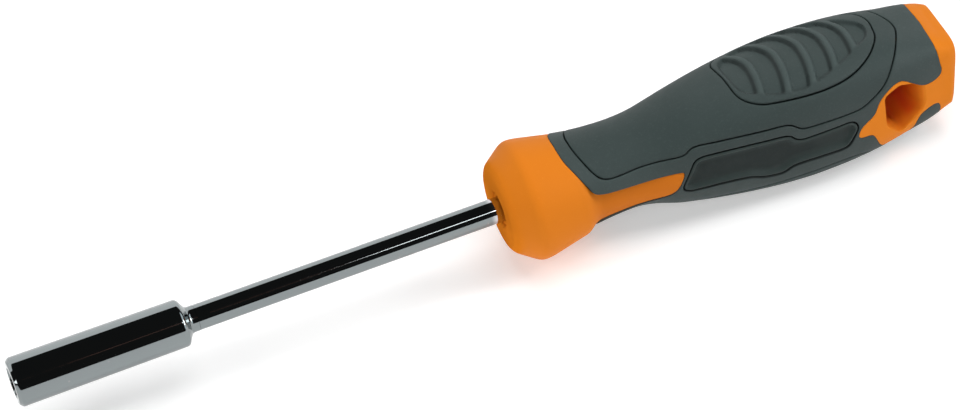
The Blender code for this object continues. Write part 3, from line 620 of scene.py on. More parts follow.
def soft_grip(name, dark, light, rough=0.62, grain=0.16, rib_shaded=False, seam_shaded=False, rim=None):
    """Fine-grained soft moulding with slight tone and gloss variation."""
    n = Nodes(name)
    tone = n.noise(55.0, 4.0, 0.55)
    speck = n.noise(1900.0, 2.0, 0.6)
    col = n.ramp(tone, [(0.30, dark), (0.72, light)])
    dust = n.ramp(speck, [(0.55, (0.0,)), (0.80, (0.35,))])
    pale = tuple(min(1.0, c * 1.45 + 0.004) for c in light)
    col = n.mix(dust, col, pale)
    if rib_shaded:
        # painted highlight on the rib crowns and painted shade at the feet of their front flanks
        painted_rib_shading = n.new("ShaderNodeAttribute", attribute_name="painted_rib_shading").outputs["Fac"]
        col = n.mix(n.smooth(painted_rib_shading, 0.5, 0.0), col, tuple(c * 0.45 for c in dark))
        col = n.mix(n.smooth(painted_rib_shading, 0.5, 1.0), col, tuple(c * 1.45 for c in light))
    if rim is not None:
        # rim colour near the panel's edge; the darker base colour inside it is painted shade of the dish
        edge = n.new("ShaderNodeAttribute", attribute_name="rim").outputs["Fac"]
        col = n.mix(edge, col, rim)
    if seam_shaded:
        # painted shade down the side panels' seams and on the frame round them
        painted_seam_shade = n.new("ShaderNodeAttribute", attribute_name="painted_seam_shade").outputs["Fac"]
        col = n.mix(painted_seam_shade, col, tuple(c * 0.22 for c in dark))
    n.link(col, n.b.inputs["Base Color"])
    n.link(n.range(n.noise(420.0, 3.0), rough - 0.08, rough + 0.10), n.b.inputs["Roughness"])
    cell = n.new("ShaderNodeTexVoronoi", feature="SMOOTH_F1")
    cell.inputs["Scale"].default_value = 2600.0
    n.link(n.co, cell.inputs["Vector"])
    first = n.bump(cell.outputs["Distance"], grain, 0.00006)
    n.link(n.bump(n.noise(900.0, 3.0), 0.10, 0.00005, first), n.b.inputs["Normal"])
    n.b.inputs["Specular IOR Level"].default_value = 0.22
    return n.m


def hard_orange(name):
    """Satin moulded plastic with faint flow marks and fine tool texture."""
    n = Nodes(name)
    tone = n.noise(26.0, 4.0, 0.5, (0.35, 1.0, 1.0))
    col = n.ramp(tone, [(0.28, (0.705, 0.196, 0.0130)), (0.74, (0.765, 0.224, 0.0165))])
    speck = n.ramp(n.noise(1500.0, 2.0), [(0.62, (0.0,)), (0.80, (0.22,))])
    col = n.mix(speck, col, (0.84, 0.27, 0.03))
    # painted shade: the walls of the hanging hole are painted a deeper, redder orange than the outside,
    # standing in for the shade and coloured bounce light inside it
    xyz = n.new("ShaderNodeSeparateXYZ")
    n.link(n.co, xyz.inputs[0])
    x0 = -TOOL_LENGTH / 2
    deep = n.smooth(n.math("ABSOLUTE", xyz.outputs[1]), 11.6 * MM, 8.6 * MM)
    tall = n.smooth(n.math("ABSOLUTE", n.math("SUBTRACT", xyz.outputs[2], AXIS_HEIGHT * MM)),
                    10.0 * MM, 8.6 * MM)
    span = n.math("MULTIPLY", n.smooth(xyz.outputs[0], (x0 + 206.0) * MM, (x0 + 208.5) * MM),
                  n.smooth(xyz.outputs[0], (x0 + 219.8) * MM, (x0 + 215.0) * MM))
    above = n.smooth(xyz.outputs[2], (AXIS_HEIGHT - 7.6) * MM, (AXIS_HEIGHT - 4.6) * MM)
    hole_shade_mask = n.math("MULTIPLY", n.math("MULTIPLY", deep, n.math("MULTIPLY", tall, above)), span)
    col = n.mix(hole_shade_mask, col, (0.66, 0.040, 0.006))
    # painted shade also on the side windows behind the bolster, in the hollow of the neck
    neck_shade = n.math("MULTIPLY", n.smooth(xyz.outputs[0], (x0 + 136.5) * MM, (x0 + 140.5) * MM),
                  n.smooth(xyz.outputs[0], (x0 + 170.0) * MM, (x0 + 166.0) * MM))
    col = n.mix(n.math("MULTIPLY", neck_shade, 0.75), col, (0.56, 0.150, 0.0105))
    # under the pads the core is painted a dark grey, partly the grip's own grey and partly painted shade, so
    # their seams read dark and no orange shows down them
    belly = n.math("MULTIPLY", n.smooth(xyz.outputs[0], (x0 + 171.5) * MM, (x0 + 173.5) * MM),
                   n.smooth(xyz.outputs[0], (x0 + 202.0) * MM, (x0 + 200.0) * MM))
    back = n.math("MULTIPLY", n.smooth(xyz.outputs[0], (x0 + 198.0) * MM, (x0 + 200.0) * MM),
                  n.smooth(xyz.outputs[0], (x0 + 215.5) * MM, (x0 + 213.5) * MM))
    high = n.smooth(xyz.outputs[2], (AXIS_HEIGHT + 8.0) * MM, (AXIS_HEIGHT + 9.0) * MM)
    under_pad_shade = n.math("MAXIMUM", belly, n.math("MULTIPLY", back, high))
    col = n.mix(under_pad_shade, col, (0.024, 0.031, 0.030))
    n.link(col, n.b.inputs["Base Color"])
    n.link(n.range(n.noise(240.0, 4.0), 0.44, 0.58), n.b.inputs["Roughness"])
    first = n.bump(n.noise(1700.0, 2.0), 0.10, 0.00004)
    n.link(n.bump(n.noise(160.0, 2.0), 0.05, 0.0002, first), n.b.inputs["Normal"])
    # the flat front face is left matt by the mould
    sheen = n.smooth(xyz.outputs[0], (x0 + 118.5) * MM, (x0 + 120.5) * MM)
    n.link(n.math("MULTIPLY", sheen, 0.04), n.b.inputs["Specular IOR Level"])
    return n.m


def chrome(name, tint=(0.235, 0.260, 0.264), rough=0.05, bright_from=None):
    """Polished plating with hairlines round the turned surface and a few specks."""
    n = Nodes(name)
    cloud = n.noise(38.0, 4.0, 0.6)
    cell = n.new("ShaderNodeTexVoronoi", feature="F1")
    cell.inputs["Scale"].default_value = 230.0
    cell.inputs["Randomness"].default_value = 1.0
    n.link(n.co, cell.inputs["Vector"])
    pit = n.ramp(cell.outputs["Distance"], [(0.035, (1.0,)), (0.075, (0.0,))])
    base = n.ramp(cloud, [(0.25, tuple(c * 0.965 for c in tint)), (0.75, tint)])
    col = n.mix(pit, base, (0.30, 0.30, 0.30))
    if bright_from is not None:
        # painted brighter reflection: the plating is made more reflective over the last few millimetres
        # before the handle
        xyz = n.new("ShaderNodeSeparateXYZ")
        n.link(n.co, xyz.inputs[0])
        x0 = -TOOL_LENGTH / 2
        near = n.smooth(xyz.outputs[0], (x0 + bright_from) * MM, (x0 + bright_from + 1.6) * MM)
        col = n.mix(near, col, (0.56, 0.55, 0.56))
    n.link(col, n.b.inputs["Base Color"])
    n.b.inputs["Metallic"].default_value = 1.0
    fine = n.noise(900.0, 2.0, 0.5, (6.0, 0.25, 0.25))
    n.link(n.range(fine, rough * 0.7, rough * 1.5), n.b.inputs["Roughness"])
    line = n.noise(700.0, 2.0, 0.5, (8.0, 0.12, 0.12))
    n.link(n.bump(line, 0.035, 0.00002), n.b.inputs["Normal"])
    return n.m


def steel(name, tint, rough):
    n = Nodes(name)
    n.link(n.ramp(n.noise(300.0, 3.0), [(0.3, tuple(c * 0.85 for c in tint)), (0.7, tint)]),
           n.b.inputs["Base Color"])
    n.b.inputs["Metallic"].default_value = 1.0
    n.link(n.range(n.noise(800.0, 3.0), rough * 0.8, rough * 1.25), n.b.inputs["Roughness"])
    n.link(n.bump(n.noise(1400.0, 2.0), 0.06, 0.00003), n.b.inputs["Normal"])
    return n.m


# -------------------------------------------------------------------- pieces
def build_sleeve(mat):
    slope = (SLEEVE_R_REAR - SLEEVE_R_FRONT) / SLEEVE_BODY_END
    st = [(0.0, 3.9)]
    st += [(x, SLEEVE_R_FRONT - d) for x, d in (
        (0.0, 0.92), (0.03, 0.82), (0.09, 0.715), (0.15, 0.655), (0.20, 0.61), (0.62, 0.23),
        (0.68, 0.18), (0.78, 0.105), (0.92, 0.045), (1.12, 0.012), (1.40, 0.0))]
    st += [(x, SLEEVE_R_FRONT + slope * x) for x in np.linspace(2.0, SLEEVE_BODY_END, 12)]
    for a in range(6, 61, 6):
        s, c = math.sin(math.radians(a)), math.cos(math.radians(a))
        st.append((SLEEVE_BODY_END + CORNER_R * s, SLEEVE_R_REAR - CORNER_R * (1 - c)))
    for a in range(60, -1, -6):
        s, c = math.sin(math.radians(a)), math.cos(math.radians(a))
        st.append((FILLET_END - FILLET_R * s, FILLET_FOOT + FILLET_R * (1 - c)))
    st.append((SLEEVE_END, FILLET_FOOT))
    ob = make_object("sleeve_polished", *lathe(st, 160), mat, sharp=30)
    cut(ob, make_object("c1", *lathe([(-1.0, POCKET_R), (POCKET_END, POCKET_R)], 64), None), 30)
    r = HEX_AF / 2 / math.cos(math.pi / 6)
    cut(ob, make_object("c2", *lathe([(-1.0, r), (HEX_DEPTH, r)], 6), None), 30)
    cut(ob, make_object("c3", *lathe([(-0.6, 4.30), (0.62, 3.08)], 96), None), 30)
    cut(ob, make_object("c4", *lathe([(GROOVE_X - GROOVE_HALF, GROOVE_R),
                                      (GROOVE_X + GROOVE_HALF, GROOVE_R)], 64), None), 30)
    cut(ob, make_object("c5", *lathe([(SPIGOT_BORE_START, SPIGOT_R + 0.3),
                                      (SLEEVE_END + 1, SPIGOT_R + 0.3)], 64), None), 30)
    return ob


def build_ring(mat):
    verts, faces = [], []
    steps, tube = 96, 20
    start = math.radians(RING_GAP_DEG / 2)
    for i in range(steps + 1):
        a = start + (2 * math.pi - 2 * start) * i / steps
        end = min(i, steps - i)
        k = 1.0 if end > 1 else (0.9 if end == 1 else 0.7)
        for j in range(tube):
            b = 2 * math.pi * j / tube
            r = RING_R + k * RING_WIRE_R * math.cos(b)
            verts.append((GROOVE_X + k * RING_WIRE_R * math.sin(b), -r * math.sin(a), r * math.cos(a)))
    for i in range(steps):
        for j in range(tube):
            a, b = i * tube + j, i * tube + (j + 1) % tube
            faces.append((a, b, b + tube, a + tube))
    faces.append(tuple(range(tube)))
    faces.append(tuple(reversed(range(steps * tube, steps * tube + tube))))
    return make_object("ring_wire", verts, faces, mat, sharp=40)


def build_magnet(mat):
    x0 = HEX_DEPTH + 0.2
    st = [(x0, MAGNET_R - 0.3), (x0 + 0.09, MAGNET_R - 0.09), (x0 + 0.3, MAGNET_R),
          (x0 + MAGNET_LENGTH - 0.3, MAGNET_R), (x0 + MAGNET_LENGTH - 0.09, MAGNET_R - 0.09),
          (x0 + MAGNET_LENGTH, MAGNET_R - 0.3)]
    return make_object("magnet_disc", *lathe(st, 64), mat, sharp=30)


def shaft_stations(grow):
    ty, tz, r = TANG_HALF_Y + grow, TANG_HALF_Z + grow, SHAFT_R + grow
    return [(158.0, r, r), (162.0, ty, tz), (180.0, ty, tz), (184.0, r, r)]


def build_shaft(mat):
    st = [(SPIGOT_START, SPIGOT_R - 0.3, SPIGOT_R - 0.3), (SPIGOT_START + 0.3, SPIGOT_R, SPIGOT_R),
          (SLEEVE_END + 0.06, SPIGOT_R, SPIGOT_R), (SLEEVE_END + 0.06, SHAFT_R - 0.02, SHAFT_R - 0.02),
          (SLEEVE_END + 0.16, SHAFT_R, SHAFT_R)]
    st += [(x, SHAFT_R, SHAFT_R) for x in np.linspace(48.0, 150.0, 18)]
    st += shaft_stations(0.0)
    st += [(SHAFT_END - 0.6, SHAFT_R, SHAFT_R), (SHAFT_END, SHAFT_R - 0.6, SHAFT_R - 0.6)]
    return make_object("blade_polished", *lathe(st, 128), mat, sharp=30)


def grip_edge(step):
    front = relax(spline(GRIP_FRONT, False, step), False, 6)
    rear = relax(spline(GRIP_REAR, False, step), False, 6)
    return front, rear


def outer_side(curve, d):
    """Shift an edge of the grip onto the hard core's side (away from the grip)."""
    return offset(curve, d, closed=False)


def closed_ends(c, first, last):
    c = c.copy()
    c[0, 1], c[-1, 1] = first, last
    return c


def core_height(x, deg):
    turned = core_outline(x)[..., 0]
    return np.where(np.asarray(x) < 164.0, turned, grip_radius(x, deg) - 0.05)


def build_core(mat):
    step = 0.8
    fine = 0.3
    front, rear = grip_edge(fine)
    sign = 1.0
    if offset(front, 1.0, closed=False)[:, 0].mean() > front[:, 0].mean():
        sign = -1.0
    f_rings = [closed_ends(offset(front, sign * (JOIN + d), closed=False), 0.0, TOP) for d in LIP]
    r_rings = [closed_ends(offset(rear, sign * (JOIN + d), closed=False), TOP, 0.0) for d in LIP]
    f, r = f_rings[0], r_rings[0]
    x0, x1 = CORE_STATIONS[0][0], TOOL_LENGTH - END_ROUND
    covered = np.vstack([f, r])
    n_arc = 90
    ring = np.linspace(0, TOP, n_arc + 1)
    loops = [(np.array([(x0, y) for y in ring]), False), (np.array([(x1, y) for y in ring]), False),
             (f, False), (r, False)]
    for y, cols in ((0.0, [c[0, 0] for c in f_rings] + [c[-1, 0] for c in r_rings]),
                    (TOP, [c[-1, 0] for c in f_rings] + [c[0, 0] for c in r_rings])):
        marks = sorted([x0, x1] + cols)
        line = []
        for a, b in zip(marks[:-1], marks[1:]):
            k = max(1, int((b - a) / step))
            line += [(a + (b - a) * i / k, y) for i in range(k)]
        line.append((x1, y))
        loops.append((np.array(line), False))
    for c in f_rings[1:] + r_rings[1:]:
        loops.append((c, False))

    def keep(p):
        return (p[:, 0] > x0) & (p[:, 0] < x1) & (p[:, 1] > 1e-5) & (p[:, 1] < TOP - 1e-5)
    bolster = np.array([(x, y) for x in np.concatenate([np.arange(x0 + 0.15, 121, 0.22),
                                                        np.arange(121, 132.4, 0.35)])
                        for y in ring[1:-1]])
    grid = np.vstack([bolster, hex_grid(step, (132.6, 0, x1, TOP))])
    uv, tri = triangulate(loops, keep, grid, 0.12)
    under = inside(covered, uv[tri].mean(1))
    x, deg = uv[:, 0], np.clip(uv[:, 1] / ARC_MM, 0, 180)
    edge = np.vstack([f, r])
    d = np.full(len(uv), 9.0)
    t = tree_of(np.vstack([even(f, False, 0.03), even(r, False, 0.03)]))
    d = np.array([t.find((a, b, 0.0))[2] for a, b in uv])
    hi = polar(x, deg, core_height(x, deg) - rim_drop(d, LIP_R))
    lo = polar(x, deg, grip_radius(x, deg) - GRIP_T - GAP)
    n = len(uv)
    verts = np.vstack([hi, lo])
    faces = [tuple(q) for q in tri[~under].tolist()] + [tuple(q) for q in (tri[under] + n).tolist()]
    up = set(rim_edges(tri[~under]))
    for a, b in rim_edges(tri[under]):
        if (b, a) in up:
            faces.append((a, b, b + n, a + n))
    order = np.argsort(uv[:, 1])
    fr = [i for i in order if abs(uv[i, 0] - x0) < 1e-5]
    rr = [i for i in order if abs(uv[i, 0] - x1) < 1e-5]
    extra, base = [], len(verts)

    def ring_of(idx, xs, scale, bulge=None):
        nonlocal base
        ids = []
        for i in idx:
            p = hi[i] * (1, scale, scale)
            if bulge is not None:
                foot = min(scale, 1 - END_TRIM) * hi[i][2]
                xs = x1 + bulge * (END_ROUND - END_TILT * (END_TOP - foot))
            extra.append((xs, p[1], p[2]))
            ids.append(base)
            base += 1
        return ids

    def bridge(a, b, flip):
        for i in range(len(a) - 1):
            q = (a[i], a[i + 1], b[i + 1], b[i])
            faces.append(q[::-1] if flip else q)
    prev = fr
    for xs, sc in ((117.88, 0.975), (117.80, 0.945), (117.76, 0.90), (117.75, 0.84), (117.76, 0.76),
                   (117.78, 0.66), (117.80, 0.56), (117.84, 0.49), (117.96, 0.445), (118.16, 0.420),
                   (118.42, 0.405)):
        ids = ring_of(fr, xs, sc)
        bridge(prev, ids, False)
        prev = ids
    tip = base
    extra.append((118.42, 0, 0))
    base += 1
    faces.extend((prev[i], prev[i + 1], tip) for i in range(len(prev) - 1))
    prev = rr
    for a in range(10, 91, 10):
        u = math.radians(a)
        ids = ring_of(rr, None, 1 - END_TRIM * (1 - math.cos(u)) - 0.055 * math.sin(u) * math.cos(u),
                      math.sin(u))
        bridge(prev, ids, True)
        prev = ids
    for sc in (0.6, 0.3):
        ids = ring_of(rr, None, sc, 1.0)
        bridge(prev, ids, True)
        prev = ids
    tip = base
    extra.append((TOOL_LENGTH - END_TILT * END_TOP, 0, 0))
    base += 1
    faces.extend((prev[i + 1], prev[i], tip) for i in range(len(prev) - 1))
    verts = np.vstack([verts, np.array(extra)])
    ob = make_object("handle_core_moulded", verts, faces, mat, also_mirror=True)
    bore = [(110.0, SHAFT_R + 0.12, SHAFT_R + 0.12)] + shaft_stations(0.12) + \
        [(SHAFT_END + 0.6, SHAFT_R + 0.12, SHAFT_R + 0.12)]
    cut(ob, make_object("c6", *lathe(bore, 64), None))
    cut(ob, make_object("c7", *hole_cutter(), None), 42)
    return ob


def hole_cutter():
    """Six-sided hanging hole; its rims follow the handle's surface and are rounded."""
    poly = np.array(HOLE_OUTLINE)
    n = len(poly)
    pts = []
    for i in range(n):
        a, b, c = poly[i - 1], poly[i], poly[(i + 1) % n]
        p = b + (a - b) / np.linalg.norm(a - b) * 1.3
        q = b + (c - b) / np.linalg.norm(c - b) * 1.3
        for t in np.linspace(0, 1, 9):
            pts.append((1 - t) ** 2 * p + 2 * t * (1 - t) * b + t * t * q)
    pts = even(np.array(pts), True, 0.25)
    nrm = offset(pts, 1.0) - pts
    lean = np.clip((pts[:, 0] - 215.0) / 4.0, 0, 1) * np.clip((pts[:, 1] + 6.0) / 3.5, 0, 1)
    rear = lean[:, None] * np.array([[1.0, 0.0]])
    levels = ((2.2, 1.10, 3.4), (0.6, 0.55, 2.2), (0.05, 0.28, 1.8), (-0.08, 0.17, 1.7),
              (-0.20, 0.08, 1.6), (-0.36, 0.02, 1.45), (-0.60, 0.0, 1.25), (-2.0, -0.05, 0.7),
              (-4.0, -0.1, 0.25), (-6.5, -0.15, 0.0))
    m = len(pts)
    verts, faces, rows = [], [], 0
    for side in (-1, 1):
        seq = levels if side < 0 else levels[::-1]
        for up, grow, ramp in seq:
            q = pts + nrm * grow + rear * ramp
            w, h, e = np.moveaxis(grip_section(q[:, 0]), -1, 0)
            y = w * np.maximum(1e-3, 1 - np.abs(q[:, 1] / h) ** e) ** (1 / e) - 0.05
            for (a, b), yy in zip(q, y):
                verts.append((a, side * (yy + up), b))
            rows += 1
    for i in range(rows - 1):
        for j in range(m):
            a, b = i * m + j, i * m + (j + 1) % m
            faces.append((a, b, b + m, a + m))
    faces.append(tuple(range(m)))
    faces.append(tuple(reversed(range((rows - 1) * m, rows * m))))
    return verts, faces


def panel_outline(points, fine):
    return relax(spline(points, True, fine), True, 5)


def edge_distance(uv, curves):
    t = tree_of(np.vstack([even(np.vstack([c, c[:1]]), False, 0.03) for c in curves]))
    return np.array([t.find((a, b, 0.0))[2] for a, b in uv])


def mark_seam_shade(ob, curve):
    """Painted seam shade: 1 along the seam of a side panel, wider on its lower run, 0 elsewhere."""
    co = np.zeros(len(ob.data.vertices) * 3)
    ob.data.vertices.foreach_get("co", co)
    p = co.reshape(-1, 3) / MM + (TOOL_LENGTH / 2, 0, -AXIS_HEIGHT)
    deg = np.degrees(np.arctan2(np.abs(p[:, 1]), p[:, 2]))
    d = edge_distance(np.stack([p[:, 0], deg * ARC_MM], 1), (curve,))
    reach = 0.23 + 0.14 * ease(deg, 98.0, 106.0)
    value = np.clip(1 - ease(d / reach, 0.62, 1.0), 0, 1)
    # a little painted shade also lies on the grip round the panel, about the belly
    frame_shade = (ease(p[:, 0], 150.0, 162.0) * ease(p[:, 0], 212.0, 203.0)
            * ease(deg, 50.0, 60.0) * ease(deg, 132.0, 122.0))
    value = np.maximum(value, 0.15 * frame_shade)
    layer = ob.data.attributes.new("painted_seam_shade", "FLOAT", "POINT")
    layer.data.foreach_set("value", value.astype(np.float32))
    # the side panel's dark base colour is painted shade of its dish; towards its edge it takes the rim
    # colour, nearer the grip's own tone, and the rear end keeps some of it as a painted lighter end
    rim = 1 - ease(d, 0.5, 2.4) * (1 - 0.35 * ease(p[:, 0], 186.0, 198.0))
    layer = ob.data.attributes.new("rim", "FLOAT", "POINT")
    layer.data.foreach_set("value", rim.astype(np.float32))


def build_grip(mat):
    step = 0.8
    fine = 0.3
    front, rear = grip_edge(fine)
    sign = 1.0
    if offset(front, 1.0, closed=False)[:, 0].mean() > front[:, 0].mean():
        sign = -1.0
    palm = panel_outline(mirrored(PALM_HALF), fine)
    low = panel_outline(mirrored(LOWER_PALM_HALF), fine)
    low[:, 1] = TOP - low[:, 1]
    side = panel_outline(SIDE_PANEL, fine)
    f_rings = [closed_ends(offset(front, -sign * d, closed=False), 0.0, TOP) for d in LIP]
    r_rings = [closed_ends(offset(rear, -sign * d, closed=False), TOP, 0.0) for d in LIP]
    edge = np.vstack([f_rings[0], r_rings[0]])
    holes = [[offset(c, gap / 2 + d) for d in RIM]
             for c, gap in ((palm, SEAM), (low, SEAM), (side, SIDE_SEAM))]

    def keep(p):
        k = inside(edge, p)
        for h in holes:
            k &= ~inside(h[0], p)
        return k
    loops = [(edge, True)]
    loops += [(c, False) for c in f_rings[1:] + r_rings[1:]]
    for h in holes:
        loops += [(c, True) for c in h]
    uv, tri = triangulate(loops, keep, hex_grid(step, (131, 0, 226, TOP)), 0.16)
    uv[np.abs(uv[:, 1]) < 1e-4, 1] = 0.0
    uv[np.abs(uv[:, 1] - TOP) < 1e-4, 1] = TOP
    curves = [h[0] for h in holes]
    t = tree_of(np.vstack([even(f_rings[0], False, 0.03), even(r_rings[0], False, 0.03)]))

    def outer(p):
        d = np.array([t.find((a, b, 0.0))[2] for a, b in p])
        return (grip_radius(p[:, 0], p[:, 1] / ARC_MM) - rim_drop(d, LIP_R)
                - rim_drop(edge_distance(p, curves)))

    def inner(p):
        return grip_radius(p[:, 0], p[:, 1] / ARC_MM) - GRIP_T
    verts, faces = shell(uv, tri, outer, inner, (0.0, TOP), (palm, low, side))
    ob = make_object("grip_moulded", verts, faces, mat, also_mirror=True)
    mark_seam_shade(ob, side)
    return ob


def rib_height(x, deg, top=RIB_TOP, foot=RIB_FOOT, shift=0.0):
    """1 on a ridge, 0 in the hollows between ridges."""
    deg = np.asarray(deg, float)
    drop = np.where(deg > 0, RIB_SWEEP_NEAR, RIB_SWEEP_FAR) * np.minimum(np.abs(deg), 42.0) ** 2
    out = np.zeros_like(np.asarray(x, float))
    for crest in RIB_CRESTS:
        u = np.clip((foot - np.abs(x - crest - shift + drop)) / (foot - top), 0, 1)
        out = np.maximum(out, u * u * (3 - 2 * u))
    return out


def mark_rib_shading(ob, hollow, flip):
    """Painted highlight on the ridge crowns, set towards their rear flanks (1), and painted shade at the feet
    of their front flanks and along the edge of the hollows (0).
    """
    co = np.zeros(len(ob.data.vertices) * 3)
    ob.data.vertices.foreach_get("co", co)
    p = co.reshape(-1, 3) / MM + (TOOL_LENGTH / 2, 0, -AXIS_HEIGHT)
    deg = np.degrees(np.arctan2(-p[:, 1], -p[:, 2] if flip else p[:, 2]))
    uv = np.stack([p[:, 0], deg * ARC_MM], 1)
    d = edge_distance(uv, (hollow,)) * np.where(inside(hollow, uv), 1, -1)
    within = ease(d, -0.3, 0.5)
    crown_light = rib_height(p[:, 0], deg, 0.20, 1.20, 0.35)
    flank_shade = rib_height(p[:, 0], deg, 0.10, 0.65, -1.10)
    foot = ease(np.abs(d - 0.1), 0.55, 0.15) * (1 - rib_height(p[:, 0], deg))
    value = 0.5 + within * (0.28 * crown_light - 0.34 * flank_shade) - 0.24 * foot * (within > 0.02)
    layer = ob.data.attributes.new("painted_rib_shading", "FLOAT", "POINT")
    layer.data.foreach_set("value", np.clip(value, 0, 1).astype(np.float32))


def build_panels(mat_panel, mat_pad, mat_side):
    fine = 0.3
    step = 0.8
    thumb = panel_outline(fuller(skewed(mirrored(THUMB_HALF))), fine)
    made = {}
    for name, half, flip in (("upper_palm_panel", PALM_HALF, False),
                             ("lower_palm_panel", LOWER_PALM_HALF, True)):
        out = panel_outline(mirrored(half), fine)
        rings = [offset(out, -SEAM / 2 - d) for d in RIM] + [offset(thumb, SEAM / 2 + d) for d in RIM]
        outer_edge, inner_edge = rings[0], rings[len(RIM)]

        def keep(p):
            return inside(outer_edge, p) & ~inside(inner_edge, p)
        uv, tri = triangulate([(c, True) for c in rings], keep, hex_grid(step, (134, -16.5, 220, 16.5)), 0.22)

        def top(p):
            d = edge_distance(p, (outer_edge, inner_edge))
            return grip_radius(p[:, 0], p[:, 1] / ARC_MM) - rim_drop(d)

        def bottom(p):
            return grip_radius(p[:, 0], p[:, 1] / ARC_MM) - PAD_T
        v, f = shell(uv, tri, top, bottom, seams=(out, thumb))
        made[name] = make_object(name + "_moulded", v, f, mat_panel, flip_z=flip)
    rings = [offset(thumb, -SEAM / 2 - d) for d in RIM + (0.8, 1.2)]
    pad_edge = rings[0]
    uv, tri = triangulate([(c, True) for c in rings], lambda p: inside(pad_edge, p),
                          hex_grid(0.34, (174, -12.5, 214, 12.5)), 0.16)

    hollow = panel_outline(fuller(skewed(mirrored(RECESS_HALF))), fine)

    def pad_top(p):
        d = edge_distance(p, (hollow,)) * np.where(inside(hollow, p), 1, -1)
        dish = ease(d, -0.25, 0.50)
        rib = rib_height(p[:, 0], p[:, 1] / ARC_MM)
        return (grip_radius(p[:, 0], p[:, 1] / ARC_MM) - PAD_DEPTH * dish * (1 - rib)
                - rim_drop(edge_distance(p, (pad_edge,))))

    def pad_bottom(p):
        return grip_radius(p[:, 0], p[:, 1] / ARC_MM) - PAD_T
    v, f = shell(uv, tri, pad_top, pad_bottom, seams=(thumb,))
    for name, flip in (("upper_thumb_pad", False), ("lower_thumb_pad", True)):
        ob = make_object(name + "_moulded", v, f, mat_pad, flip_z=flip)
        mark_rib_shading(ob, hollow, flip)
        made[name] = ob
    side = panel_outline(SIDE_PANEL, fine)
    rings = [offset(side, -SIDE_SEAM / 2 - d) for d in RIM + (0.5, 0.7, 0.9, 1.1)]
    side_edge = rings[0]
    uv, tri = triangulate([(c, True) for c in rings], lambda p: inside(side_edge, p),
                          hex_grid(step, (156, 12, 204, 27)), 0.22)

    def side_top(p):
        d = edge_distance(p, (side_edge,))
        u = np.clip((d - 0.40) / 0.70, 0, 1)
        dish = u * u * (3 - 2 * u)
        return grip_radius(p[:, 0], p[:, 1] / ARC_MM) - 0.10 - SIDE_RECESS * dish - rim_drop(d)
    v, f = shell(uv, tri, side_top, pad_bottom, seams=(side,))
    for name, flip in (("right_side_panel", False), ("left_side_panel", True)):
        made[name] = make_object(name + "_moulded", v, f, mat_side, flip_y=flip)
        mark_seam_shade(made[name], side)
    return made


# --------------------------------------------------------- camera and studio
FOCAL_PX = 4500.0             # focal length in pixels of the 960 x 410 frame
AXIS_TILT = math.radians(10.5)      # tip end of the tool leans to the camera
SECTION_TURN = math.radians(47.0)   # view from the top round to the near side
AXIS_IN_IMAGE = math.radians(19.652)
AXIS_POINT_PX = (15.24, 382.15)
MOUTH_PX = -3.5
SHAFT_PX, SHAFT_AT_PX = 26.4, 345.0


def build_camera():
    x = Vector((1, 0, 0))
    b = Vector((0, -math.sin(SECTION_TURN), math.cos(SECTION_TURN)))
    down = -Vector((0, math.cos(SECTION_TURN), math.sin(SECTION_TURN)))
    back = -math.sin(AXIS_TILT) * x + math.cos(AXIS_TILT) * b
    along = math.cos(AXIS_TILT) * x + math.sin(AXIS_TILT) * b
    c, s = math.cos(AXIS_IN_IMAGE), math.sin(AXIS_IN_IMAGE)
    right = along * c + down * s
    lower = -along * s + down * c
    dist = FOCAL_PX * 2 * SHAFT_R / SHAFT_PX
    px = AXIS_POINT_PX[0] + SHAFT_AT_PX * c - 480.0
    py = AXIS_POINT_PX[1] - SHAFT_AT_PX * s - 205.0
    # point of the axis that lands on the reference pixel is the origin here
    pos = back * dist - right * (px / FOCAL_PX * dist) - lower * (py / FOCAL_PX * dist)

    def along_px(xx):
        d = Vector((xx, 0, 0)) - pos
        z = -d.dot(back)
        u = 480.0 + FOCAL_PX * d.dot(right) / z - AXIS_POINT_PX[0]
        v = 205.0 + FOCAL_PX * d.dot(lower) / z - AXIS_POINT_PX[1]
        return u * c - v * s
    lo, hi = -300.0, 300.0
    for _ in range(80):
        mid = 0.5 * (lo + hi)
        lo, hi = (mid, hi) if along_px(mid) < MOUTH_PX else (lo, mid)
    pos = pos - Vector((mid, 0, 0))
    pos = Vector(((pos.x - TOOL_LENGTH / 2) * MM, pos.y * MM, (pos.z + AXIS_HEIGHT) * MM))
    cam = bpy.data.cameras.new("camera")
    cam.sensor_fit = "HORIZONTAL"
    cam.sensor_width = 36.0
    cam.lens = FOCAL_PX / 960.0 * 36.0
    cam.clip_start, cam.clip_end = 0.05, 50.0
    ob = bpy.data.objects.new("camera", cam)
    bpy.context.collection.objects.link(ob)
    up = -lower
    ob.matrix_world = Matrix(((right.x, up.x, back.x, pos.x), (right.y, up.y, back.y, pos.y),
                              (right.z, up.z, back.z, pos.z), (0, 0, 0, 1)))
    bpy.context.scene.camera = ob
    return ob


def area_light(name, where, target, size, size_y, power, glossy, colour=(1, 1, 1)):
    li = bpy.data.lights.new(name, "AREA")
    li.shape = "RECTANGLE"
    li.size, li.size_y = size, size_y
    li.energy = power
    li.color = colour
    ob = bpy.data.objects.new(name, li)
    bpy.context.collection.objects.link(ob)
    ob.location = where
    d = Vector(target) - Vector(where)
    ob.rotation_euler = d.to_track_quat("-Z", "Y").to_euler()
    ob.visible_glossy = glossy
    ob.visible_camera = False
    return ob


